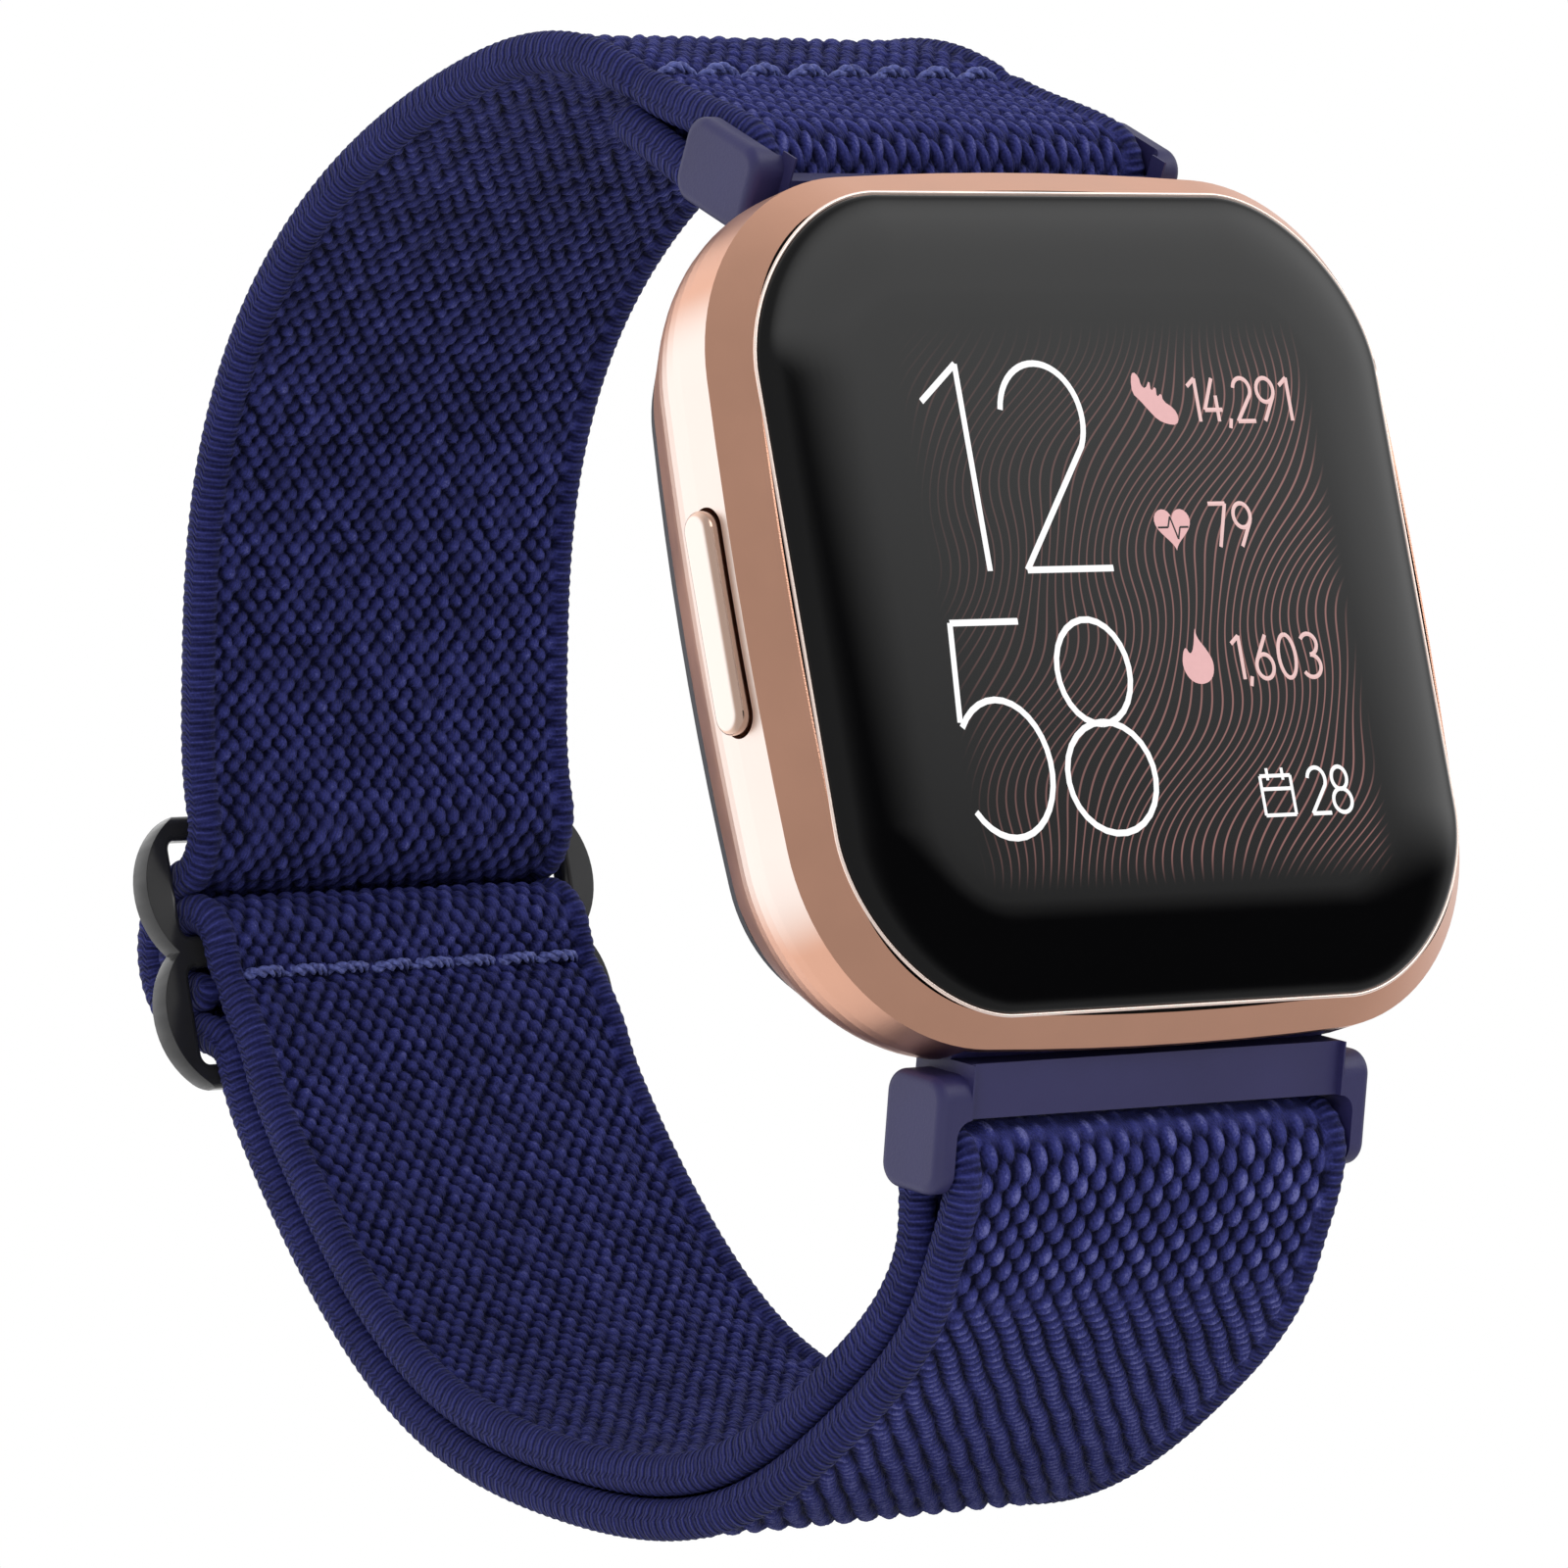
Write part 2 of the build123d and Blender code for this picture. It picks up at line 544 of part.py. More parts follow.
def release_tip():
    tip = rod_x(SHANK_RADIUS, SHANK_START, TUBE_RIGHT) + rod_x(TIP_RADIUS, TUBE_RIGHT, TIP_END)
    x0, x1 = LEVER_X - LEVER_THICKNESS / 2, LEVER_X + LEVER_THICKNESS / 2
    return tip + lever_arm(LEVER_REACH, x0, x1, LEVER_WIDTH)


def tip_spring():
    """Coil between the fixed tip and the sliding one."""
    length = SHANK_START - PLUG_END - 4 * SPRING_WIRE_RADIUS
    path = Helix(SPRING_PITCH, length, SPRING_COIL_RADIUS)
    section = Plane(origin=path @ 0, z_dir=path % 0) * Circle(SPRING_WIRE_RADIUS)
    coil = sweep(section, path=path)
    return Pos(PLUG_END + 2 * SPRING_WIRE_RADIUS, 0, 0) * Rot(Y=90) * coil


def at_top(shape):
    """Place a connector piece at the 12 o'clock end."""
    return Pos(0, -PIVOT_HEIGHT, PIVOT_Z) * Rot(X=-TOP_LEAN) * shape


def at_bottom(shape):
    """Place the same piece at the 6 o'clock end, turned half round about y."""
    return Pos(0, -PIVOT_HEIGHT, -PIVOT_Z) * Rot(X=BOTTOM_LEAN) * Rot(Y=180) * shape


# ---- band ----
def connector_point(forward, out, side):
    """A point of a connector's upright drawing as (y, z) where that connector stands."""
    lean = radians(TOP_LEAN if side > 0 else BOTTOM_LEAN)
    y = -PIVOT_HEIGHT - forward * cos(lean) + out * sin(lean)
    z = PIVOT_Z + out * cos(lean) + forward * sin(lean)
    return y, side * z


def curve(points, first, last):
    """A smooth line through (y, z) points, leaving and arriving in given directions."""
    places = [Vector(0, y, z) for y, z in points]
    return Edge.make_spline(places, tangents=[Vector(0, *first), Vector(0, *last)])


def bar_loop(centre, start_angle, turn, radius):
    """Part of a circle that the band's middle follows round a bar, angles in (y, z)."""
    def place(share):
        angle = radians(start_angle + turn * share)
        return Vector(0, centre[0] + radius * cos(angle), centre[1] + radius * sin(angle))

    return Edge.make_three_point_arc(place(0), place(0.5), place(1))


def layer(path, start, stop, low, high, step=BAND_STEP):
    """A stretch of band between two distances along a path and two distances outside it."""
    count = max(2, round((stop - start) / step))
    under, over = [], []
    for k in range(count + 1):
        at = start + (stop - start) * k / count
        middle = path.position_at(at, position_mode=PositionMode.LENGTH)
        along = path.tangent_at(at, position_mode=PositionMode.LENGTH)
        outward = Vector(0, -along.Z, along.Y)
        under.append(middle + outward * low)
        over.append(middle + outward * high)
    sides = [
        Edge.make_spline(under),
        Edge.make_line(under[-1], over[-1]),
        Edge.make_spline(over),
        Edge.make_line(over[0], under[0]),
    ]
    face = Pos(-BAND_HALF_WIDTH, 0, 0) * Face(Wire(sides))
    return extrude(face, amount=2 * BAND_HALF_WIDTH, dir=(1, 0, 0))


def top_run():
    """Middle of the single layer, from the top connector's bar to the slider."""
    lean = radians(TOP_LEAN)
    start = connector_point(STRAP_BAR_FORWARD + LOOP_RADIUS, TOP_BAR_OUT, 1)
    return curve([start] + TOP_RUN, (sin(lean), cos(lean)), (0, -1))


def top_loop_path():
    """From the flap's cut end, through the connector's slot and over its bar, to the seam."""
    lean = radians(TOP_LEAN)
    arrive = connector_point(STRAP_BAR_FORWARD - LOOP_RADIUS, TOP_BAR_OUT, 1)
    flap = curve([FLAP_END, arrive], FLAP_END_HEADING, (-sin(lean), -cos(lean)))
    centre = connector_point(STRAP_BAR_FORWARD, TOP_BAR_OUT, 1)
    turn = bar_loop(centre, -TOP_LEAN, -180, LOOP_RADIUS)
    return Wire([flap, turn, top_run()]), flap.length + turn.length


def lower_run():
    """Line between the two layers of the doubled half, from the slider to the connector."""
    return curve(LOWER_RUN, LOWER_RUN_START, LOWER_RUN_END)


def beside(path, distance, offset):
    """A point beside a path and the path's direction there, both in (y, z)."""
    middle = path.position_at(distance, position_mode=PositionMode.LENGTH)
    along = path.tangent_at(distance, position_mode=PositionMode.LENGTH)
    return (middle.Y - along.Z * offset, middle.Z + along.Y * offset), (along.Y, along.Z)


def bottom_loop_path():
    """From the outer layer, over the bottom connector's bar and back to the inner layer."""
    run = lower_run()
    apart = (PLY + PLY_GAP) / 2
    lean = radians(BOTTOM_LEAN)
    leave, heading = beside(run, run.length, apart)
    back, _ = beside(run, run.length, -apart)
    over = connector_point(STRAP_BAR_FORWARD + LOOP_RADIUS, BOTTOM_BAR_OUT, -1)
    under = connector_point(STRAP_BAR_FORWARD - LOOP_RADIUS, BOTTOM_BAR_OUT, -1)
    centre = connector_point(STRAP_BAR_FORWARD, BOTTOM_BAR_OUT, -1)
    outer = curve([leave, over], heading, (-sin(lean), cos(lean)))
    turn = bar_loop(centre, 180 + BOTTOM_LEAN, -180, LOOP_RADIUS)
    inner = curve([under, back], (sin(lean), -cos(lean)), (-heading[0], -heading[1]))
    return Wire([outer, turn, inner])


def slider_pass_path():
    """The single layer, out over the slider's middle bar and in again."""
    centre = (BUCKLE_FRONT_Y + BUCKLE_THICKNESS / 2, BUCKLE_Z)
    radius = SLIDER_LOOP_RADIUS + PLY + FIT_GAP
    over = bar_loop(centre, 90, -130, radius)
    leave, heading = beside(over, over.length, 0)
    run = lower_run()
    end, down = beside(run, 0, (PLY + PLY_GAP) / 2)
    into = curve([TOP_RUN[-1], (centre[0], centre[1] + radius)], (0, -1), (1, 0))
    out = curve([leave, (46.9, -7.1), (45.5, -8.2), end], heading, down)
    return Wire([into, over, out])


def slider_loop_path():
    """The inner layer, up and round the slider's middle bar to where it is sewn to itself."""
    centre = (BUCKLE_FRONT_Y + BUCKLE_THICKNESS / 2, BUCKLE_Z)
    start, down = beside(lower_run(), 0, -(PLY + PLY_GAP) / 2)
    rise = curve([start, (centre[0] - SLIDER_LOOP_RADIUS, BUCKLE_Z)], (-down[0], -down[1]), (0, 1))
    turn = bar_loop(centre, 180, SLIDER_LOOP_END - 180, SLIDER_LOOP_RADIUS)
    return Wire([rise, turn])


def outer_layer(start, stop):
    return layer(lower_run(), start, stop, PLY_GAP / 2, PLY_GAP / 2 + PLY)


def inner_layer(start, stop):
    return layer(lower_run(), start, stop, -PLY_GAP / 2 - PLY, -PLY_GAP / 2)


def single_layer(path, start, stop, step=BAND_STEP):
    return layer(path, start, stop, -PLY / 2, PLY / 2, step)


def band_pieces():
    """Every stretch of the band, cut where one body's part ends and the next begins."""
    loop, run_start = top_loop_path()
    run = top_run()
    doubled = lower_run().length
    seam, flexed = TOP_SEAM, TOP_SEAM + TOP_FLEX
    stretched = run.length - UPPER_STRETCH
    lower_free = doubled - BOTTOM_FLEX
    bottom, slider_pass, slider_loop = bottom_loop_path(), slider_pass_path(), slider_loop_path()
    return {
        "band_top_loop": single_layer(loop, 0, run_start + seam, TURN_STEP),
        "band_top_flex": single_layer(run, seam, flexed),
        "band_upper": single_layer(run, flexed, stretched),
        "band_upper_stretch": single_layer(run, stretched, run.length),
        "band_slider_pass": single_layer(slider_pass, 0, slider_pass.length, TURN_STEP),
        "band_slider_loop": single_layer(slider_loop, 0, slider_loop.length, TURN_STEP),
        "band_outer_stretch": outer_layer(0, LOWER_STRETCH),
        "band_outer": outer_layer(LOWER_STRETCH, lower_free),
        "band_outer_flex": outer_layer(lower_free, doubled),
        "band_inner_stretch": inner_layer(0, LOWER_STRETCH),
        "band_inner": inner_layer(LOWER_STRETCH, lower_free),
        "band_inner_flex": inner_layer(lower_free, doubled),
        "band_bottom_loop": single_layer(bottom, 0, bottom.length, TURN_STEP),
    }


# ---- slider and seams ----
def slider_buckle():
    """Flat figure-of-eight plate with two openings and a round-edged middle bar."""
    top = BUCKLE_Z + BUCKLE_BAR / 2 + BUCKLE_OPENING + BUCKLE_END_BAR
    bottom = 2 * BUCKLE_Z - top
    upper, lower = (top + BUCKLE_Z) / 2, (bottom + BUCKLE_Z) / 2
    end, waist, lobe = BUCKLE_END_HALF_WIDTH, BUCKLE_WAIST_HALF_WIDTH, BUCKLE_LOBE_HALF_WIDTH
    border = [
        Line((-end, top), (end, top)),
        ThreePointArc((end, top), (lobe, upper), (waist, BUCKLE_Z)),
        ThreePointArc((waist, BUCKLE_Z), (lobe, lower), (end, bottom)),
        Line((end, bottom), (-end, bottom)),
        ThreePointArc((-end, bottom), (-lobe, lower), (-waist, BUCKLE_Z)),
        ThreePointArc((-waist, BUCKLE_Z), (-lobe, upper), (-end, top)),
    ]
    plate = slab(make_face(border), -BUCKLE_FRONT_Y - BUCKLE_THICKNESS, -BUCKLE_FRONT_Y)
    window = RectangleRounded(2 * BUCKLE_OPENING_HALF_WIDTH, BUCKLE_OPENING, 0.5)
    for side in (1, -1):
        z = BUCKLE_Z + side * (BUCKLE_BAR + BUCKLE_OPENING) / 2
        plate -= slab(Pos(0, z) * window, -BUCKLE_FRONT_Y - 2 * BUCKLE_THICKNESS, 0)
    return fillet(plate.edges().filter_by(GeomType.LINE).filter_by(Axis.X), 0.4)


def seam_threads(place):
    """A row of short threads across the band, standing just clear of its surface."""
    y, z = place
    threads = []
    for k in range(THREAD_COUNT):
        x = (k - (THREAD_COUNT - 1) / 2) * 2 * (BAND_HALF_WIDTH - 1) / THREAD_COUNT
        thread = rod_x(THREAD_RADIUS, x - THREAD_LENGTH / 2, x + THREAD_LENGTH / 2, y, z)
        threads.append(fillet(thread.edges().filter_by(GeomType.CIRCLE), THREAD_RADIUS * 0.8))
    return Compound(children=threads)


def top_seam():
    place, _ = beside(top_run(), TOP_SEAM - 0.4, PLY / 2 + THREAD_RADIUS + THREAD_GAP)
    return seam_threads(place)


def slider_seam():
    path = slider_loop_path()
    distance = SLIDER_SEAM_Z - LOWER_RUN[0][1]
    place, _ = beside(path, distance, PLY / 2 + THREAD_RADIUS + THREAD_GAP)
    return seam_threads(place)


def connector_pieces():
    """The two connectors and their spring bars, which are the same at each end."""
    pieces = {
        "top_connector": at_top(connector(TOP_BAR_OUT, TOP_BEAM_FRONT)),
        "bottom_connector": at_bottom(connector(BOTTOM_BAR_OUT, BOTTOM_BEAM_FRONT)),
    }
    upright = {
        "bar_tube": bar_tube(),
        "fixed_tip": fixed_tip(),
        "release_tip": release_tip(),
        "tip_spring": tip_spring(),
    }
    for name, shape in upright.items():
        pieces[f"top_{name}"] = at_top(shape)
        pieces[f"bottom_{name}"] = at_bottom(shape)
    return pieces


CASE_PIECES = [
    case_body, cover_glass, glass_seal, display_panel, display_flex, mid_frame, main_board,
    frame_screws, processor_shield, processor, battery, vibration_motor, radio_antenna,
    microphone, back_cover, back_gasket, sensor_window, sensor_board, sensor_leds,
    photodiodes, charging_contacts, sensor_flex, button_cap, button_seal, button_clip,
    button_dome, button_switch, slider_buckle, top_seam, slider_seam,
]

os.makedirs("parts", exist_ok=True)
pieces = {piece.__name__: piece() for piece in CASE_PIECES}
pieces.update(connector_pieces())
pieces.update(band_pieces())
for name, shape in pieces.items():
    export_step(shape, f"parts/{name}.step")
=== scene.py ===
import json
from math import cos, pi, radians, sin

import bpy
import numpy as np
from mathutils import Matrix, Vector


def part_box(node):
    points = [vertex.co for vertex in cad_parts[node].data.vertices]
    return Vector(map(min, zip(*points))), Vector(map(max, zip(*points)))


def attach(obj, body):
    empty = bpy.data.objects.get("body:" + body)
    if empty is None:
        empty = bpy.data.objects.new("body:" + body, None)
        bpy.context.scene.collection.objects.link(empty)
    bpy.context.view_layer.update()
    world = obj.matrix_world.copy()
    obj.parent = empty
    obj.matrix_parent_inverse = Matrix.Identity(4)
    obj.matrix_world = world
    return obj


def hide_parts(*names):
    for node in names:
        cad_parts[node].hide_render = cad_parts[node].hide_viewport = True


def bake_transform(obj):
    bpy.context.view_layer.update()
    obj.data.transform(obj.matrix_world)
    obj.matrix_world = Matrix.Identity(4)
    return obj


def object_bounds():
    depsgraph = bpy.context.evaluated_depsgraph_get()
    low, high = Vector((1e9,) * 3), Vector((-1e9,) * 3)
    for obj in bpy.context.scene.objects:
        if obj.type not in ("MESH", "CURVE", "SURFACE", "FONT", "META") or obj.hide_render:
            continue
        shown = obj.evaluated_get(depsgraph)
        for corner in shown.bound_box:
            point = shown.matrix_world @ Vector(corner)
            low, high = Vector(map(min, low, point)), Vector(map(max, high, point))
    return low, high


# Looks for a fitness tracker on a knitted elastic band.
# Lengths below are in millimetres; MM turns them into the frame's metres.
# +Z points to 12 o'clock, -Y out of the screen and +X to the right as the screen is read.

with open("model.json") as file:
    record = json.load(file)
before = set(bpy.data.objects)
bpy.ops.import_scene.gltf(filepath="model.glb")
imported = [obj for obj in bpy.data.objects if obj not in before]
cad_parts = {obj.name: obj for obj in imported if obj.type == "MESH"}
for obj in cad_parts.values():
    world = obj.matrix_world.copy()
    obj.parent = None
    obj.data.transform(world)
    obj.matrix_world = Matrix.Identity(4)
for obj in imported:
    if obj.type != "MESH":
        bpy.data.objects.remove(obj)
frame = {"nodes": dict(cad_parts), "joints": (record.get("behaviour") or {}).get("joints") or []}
cad_low, cad_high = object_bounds()
MM = 0.001
nodes = frame["nodes"]
pivots = {joint["name"]: joint.get("pos_m") for joint in frame["joints"]}

# ---- band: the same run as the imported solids, as (y, z) ----
TOP_LEAN = 52.0
BOTTOM_LEAN = 22.0
BAR_FORWARD = 0.95
TOP_BAR_OUT = 5.1
BOTTOM_BAR_OUT = 6.6
LOOP_RADIUS = 1.55
PLY = 1.75
PLY_GAP = 0.3
BAND_HALF_WIDTH = 11.4
TOP_RUN = [
    (0.8, 26.35), (4.9, 29.3), (9.0, 30.95), (15.8, 31.35), (27.2, 29.0),
    (35.0, 24.3), (40.4, 17.2), (43.3, 9.4), (44.55, 3.2),
]
LOWER_RUN = [
    (44.25, -9.4), (43.3, -12.8), (40.3, -19.4), (34.5, -27.2),
    (25.1, -32.6), (14.0, -35.1), (3.6, -32.6), (-3.3, -28.2),
]
LOWER_RUN_START = (-0.12, -1.0)
LOWER_RUN_END = (-0.6, 0.8)
FLAP_END = (4.2, 26.45)
FLAP_END_HEADING = (-0.79, -0.61)
TOP_SEAM = 8.6
SLIDER_CENTRE = (46.8, -3.1)
SLIDER_LOOP_RADIUS = 1.9
SLIDER_PASS_RADIUS = 3.7
SLIDER_LOOP_END = -115.0
SLIDER_SEAM_Z = -4.9
UPPER_SPLIT = 30.0          # along the upper run, where one knitted piece hands over to the next
LOWER_SPLIT = 46.0          # the same along the doubled half

# ---- knit ----
RIM_WIDTH = 1.35
RIM_HALF_THICKNESS = 0.93
RIM_BULGE = 0.72            # from the middle of the rim to its outermost point
RIM_SWEEP = 112.0           # degrees that the rim's round turns either side of straight out
FACE_LEVEL = 0.50           # half thickness of the knit below its loops
LOOP_HEIGHT = 0.46
WRAP_PITCH, WRAP_HEIGHT = 0.56, 0.06     # of the yarn wrapped round the rim
ROW_STEP = 0.15
FACE_SAMPLES = 136
RIM_SAMPLES = 13
NUB_ACROSS, NUB_ALONG = 0.96, 0.56
BRAID_ACROSS, BRAID_ALONG = 1.36, 1.1
RIB_ACROSS, WRAP_ALONG = 0.98, 0.52
RIB_SLANT = radians(42)
BEAD_ALONG = 0.98
BEADS_FROM, BEADS_FADE = 9.5, 3.0        # before the bar, where cords turn into fat loops
END_ROUNDING = 0.8                       # length over which a cut end thins to nothing
SEAM_WIDTH = 0.55                        # of the groove that a seam pulls into the knit

# ---- sewing ----
STITCH_COUNT = 8
STITCH_SWIRL, STITCH_RADIUS = 0.15, 0.16
STITCH_TURNS = 2.3
STITCH_DEPTH, STITCH_DIVE = 0.22, 0.75   # how far a stitch lies in the knit, and dives at its ends
INTO_BAND = {"top_seam": (0.5, -0.85), "slider_seam": (0.99, 0.0)}   # direction in (y, z)

# ---- screen and surroundings ----
LINE_PITCH = 0.56                        # between the lit lines on the screen
FRONT_LEVEL, BACK_LEVEL = 0.5, 1.2       # brightness of the room as reflections see it
RIM_LINE_RADIUS = 0.085


# ---- curves in (y, z) ----
def clamped_spline(points, first, last, step=0.05):
    """Evenly sampled cubic through the points, leaving and arriving in given directions."""
    p = np.array(points, float)
    first, last = (np.array(d, float) / np.linalg.norm(d) for d in (first, last))
    gaps = np.linalg.norm(np.diff(p, axis=0), axis=1)
    knots = np.concatenate([[0], np.cumsum(gaps)])
    n = len(p)
    system, right = np.zeros((n, n)), np.zeros((n, 2))
    system[0, 0] = system[-1, -1] = 1
    right[0], right[-1] = first, last
    for k in range(1, n - 1):
        before, after = gaps[k - 1], gaps[k]
        system[k, k - 1:k + 2] = after, 2 * (before + after), before
        right[k] = 3 * (after * (p[k] - p[k - 1]) / before + before * (p[k + 1] - p[k]) / after)
    slope = np.linalg.solve(system, right)
    at = np.linspace(0, knots[-1], max(8, int(knots[-1] / step)))
    k = np.clip(np.searchsorted(knots, at, side="right") - 1, 0, n - 2)
    t = ((at - knots[k]) / gaps[k])[:, None]
    width = gaps[k][:, None]
    return (
        (2 * t**3 - 3 * t**2 + 1) * p[k] + (t**3 - 2 * t**2 + t) * width * slope[k]
        + (3 * t**2 - 2 * t**3) * p[k + 1] + (t**3 - t**2) * width * slope[k + 1]
    )


def arc(centre, start, turn, radius):
    angles = np.radians(np.linspace(start, start + turn, max(8, int(abs(turn) / 3))))
    return np.stack([centre[0] + radius * np.cos(angles), centre[1] + radius * np.sin(angles)], 1)


def joined(*parts):
    rows = [parts[0]]
    for part in parts[1:]:
        rows.append(part[1:])
    return np.concatenate(rows)


def lengths(path):
    return np.concatenate([[0], np.cumsum(np.linalg.norm(np.diff(path, axis=0), axis=1))])


def cut(path, start, stop):
    """The stretch of a path between two distances along it."""
    at = lengths(path)
    stop = at[-1] if stop is None else stop
    inside = (at > start) & (at < stop)
    ends = [[np.interp(d, at, path[:, k]) for k in (0, 1)] for d in (start, stop)]
    return np.concatenate([[ends[0]], path[inside], [ends[1]]])


def headings(path):
    d = np.gradient(path, axis=0)
    return d / np.linalg.norm(d, axis=1)[:, None]


def beside(path, offset):
    t = headings(path)
    return path + offset * np.stack([-t[:, 1], t[:, 0]], 1)


def connector_point(forward, out, side):
    """A point of a connector's upright drawing as (y, z) where that connector stands."""
    pivot = pivots["top_pivot"] if side > 0 else pivots["bottom_pivot"]
    lean = radians(TOP_LEAN if side > 0 else BOTTOM_LEAN)
    y = pivot[1] / MM - forward * cos(lean) + out * sin(lean)
    return y, pivot[2] / MM + side * (out * cos(lean) + forward * sin(lean))


def top_run():
    lean = radians(TOP_LEAN)
    start = connector_point(BAR_FORWARD + LOOP_RADIUS, TOP_BAR_OUT, 1)
    return clamped_spline([start] + TOP_RUN, (sin(lean), cos(lean)), (0, -1))


def top_loop():
    """From the flap's cut end, through the connector and over its bar."""
    lean = radians(TOP_LEAN)
    arrive = connector_point(BAR_FORWARD - LOOP_RADIUS, TOP_BAR_OUT, 1)
    flap = clamped_spline([FLAP_END, arrive], FLAP_END_HEADING, (-sin(lean), -cos(lean)))
    return joined(flap, arc(connector_point(BAR_FORWARD, TOP_BAR_OUT, 1), -TOP_LEAN, -180, LOOP_RADIUS))


def lower_run():
    return clamped_spline(LOWER_RUN, LOWER_RUN_START, LOWER_RUN_END)


def bottom_turn():
    """From the outer layer, over the bottom connector's bar and back to the inner layer."""
    run = lower_run()
    lean = radians(BOTTOM_LEAN)
    apart = (PLY + PLY_GAP) / 2
    leave, back = beside(run, apart)[-1], beside(run, -apart)[-1]
    heading = headings(run)[-1]
    over = connector_point(BAR_FORWARD + LOOP_RADIUS, BOTTOM_BAR_OUT, -1)
    under = connector_point(BAR_FORWARD - LOOP_RADIUS, BOTTOM_BAR_OUT, -1)
    centre = connector_point(BAR_FORWARD, BOTTOM_BAR_OUT, -1)
    outer = clamped_spline([leave, over], heading, (-sin(lean), cos(lean)))
    turn = arc(centre, 180 + BOTTOM_LEAN, -180, LOOP_RADIUS)
    return joined(outer, turn, clamped_spline([under, back], (sin(lean), -cos(lean)), -heading))


def slider_pass():
    """The single layer, out over the slider's middle bar and in again."""
    y, z = SLIDER_CENTRE
    over = arc(SLIDER_CENTRE, 90, -130, SLIDER_PASS_RADIUS)
    end = beside(lower_run(), (PLY + PLY_GAP) / 2)[0]
    into = clamped_spline([TOP_RUN[-1], (y, z + SLIDER_PASS_RADIUS)], (0, -1), (1, 0))
    points = [over[-1], (46.9, -7.1), (45.5, -8.2), end]
    return joined(into, over, clamped_spline(points, over[-1] - over[-2], LOWER_RUN_START))


def slider_loop():
    """The inner layer, up and round the slider's middle bar to where it is sewn to itself."""
    y, z = SLIDER_CENTRE
    start = beside(lower_run(), -(PLY + PLY_GAP) / 2)[0]
    up = (-LOWER_RUN_START[0], -LOWER_RUN_START[1])
    rise = clamped_spline([start, (y - SLIDER_LOOP_RADIUS, z)], up, (0, 1))
    return joined(rise, arc(SLIDER_CENTRE, 180, SLIDER_LOOP_END - 180, SLIDER_LOOP_RADIUS))


# ---- knit patterns: height from 0 in the gaps to 1 on the loops ----
def chance(i, j, salt):
    """A repeatable number from 0 to 1 for each stitch."""
    value = np.sin(i * 12.9898 + j * 78.233 + salt * 37.719) * 43758.5453
    return value - np.floor(value)


def dome(across, along):
    return np.sqrt(np.clip(1 - across**2 - along**2, 0, None))


def nubs(x, v):
    """Small staggered loops, each leaning a little."""
    height = np.zeros_like(x)
    row = np.floor(v / NUB_ALONG)
    for dr in (-1, 0, 1):
        i = row + dr
        shifted = x / NUB_ACROSS + 0.5 * np.mod(i, 2)
        for dc in (-1, 0, 1):
            j = np.floor(shifted) + dc
            along = v - NUB_ALONG * (i + 0.5 + 0.2 * (chance(i, j, 1) - 0.5))
            across = NUB_ACROSS * (shifted - (j + 0.5) + 0.18 * (chance(i, j, 2) - 0.5))
            lean = 0.5 * (chance(i, j, 3) - 0.5)
            size = 0.92 + 0.2 * chance(i, j, 4)
            loop = dome((across + lean * along) / (0.385 * size), along / (0.40 * size))
            height = np.maximum(height, loop * (0.72 + 0.28 * chance(i, j, 5)) * (0.85 + 0.3 * along))
    return height


def braid(x, v):
    """Pairs of slanted loops that meet in a V, one row tucked under the next."""
    height = np.zeros_like(x)
    column = np.floor(x / BRAID_ACROSS)
    for dc in (-1, 0, 1):
        j = column + dc
        for side in (-1, 1):
            row = np.floor(v / BRAID_ALONG)
            for dr in (-1, 0, 1):
                i = row + dr
                along = v / BRAID_ALONG - (i + 0.5) + 0.12 * (chance(i, j, 6 + side) - 0.5)
                across = x / BRAID_ACROSS - (j + 0.5 + 0.25 * side)
                tilted = across - side * 0.26 * along
                loop = dome(tilted / 0.21, (along - 0.1 * side) / 0.66)
                height = np.maximum(height, loop * (0.85 + 0.3 * along))
    return height


def slanted(x, v):
    """Distances across and along the cords that cross the band at a slant."""
    return x * cos(RIB_SLANT) + v * sin(RIB_SLANT), v * cos(RIB_SLANT) - x * sin(RIB_SLANT)


def ribs(x, v):
    """Slanting cords, each tightly wrapped, with dark gaps between them."""
    x, v = slanted(x, v)
    j = np.floor(x / RIB_ACROSS)
    across = x / RIB_ACROSS - (j + 0.5)
    wander = 0.05 * np.sin(v * 1.3 + 5 * chance(j, 0, 7))
    cord = np.sqrt(np.clip(1 - ((across + wander) / 0.46) ** 2, 0, None))
    uneven = 0.25 * chance(j, np.floor(v / WRAP_ALONG), 8)
    wraps = v / WRAP_ALONG + 0.5 * np.mod(j, 2) + 0.7 * across + uneven
    ridge = 0.5 + 0.5 * np.cos(2 * pi * wraps)
    return cord * (0.52 + 0.48 * ridge) + 0.15 * (1 - cord) * ridge


def beads(x, v):
    """Rows of fat loops along the same slanting cords, each row half a loop out of step."""
    x, v = slanted(x, v)
    j = np.floor(x / RIB_ACROSS)
    across = x - RIB_ACROSS * (j + 0.5)
    row = v / BEAD_ALONG + 0.5 * np.mod(j, 2)
    i = np.floor(row)
    along = BEAD_ALONG * (row - (i + 0.5) + 0.16 * (chance(i, j, 10) - 0.5))
    loop = dome((across - 0.35 * along) / (0.49 * RIB_ACROSS), along / (0.52 * BEAD_ALONG))
    return loop * (0.8 + 0.2 * chance(i, j, 11))


def smooth(t):
    t = np.clip(t, 0, 1)
    return t * t * (3 - 2 * t)


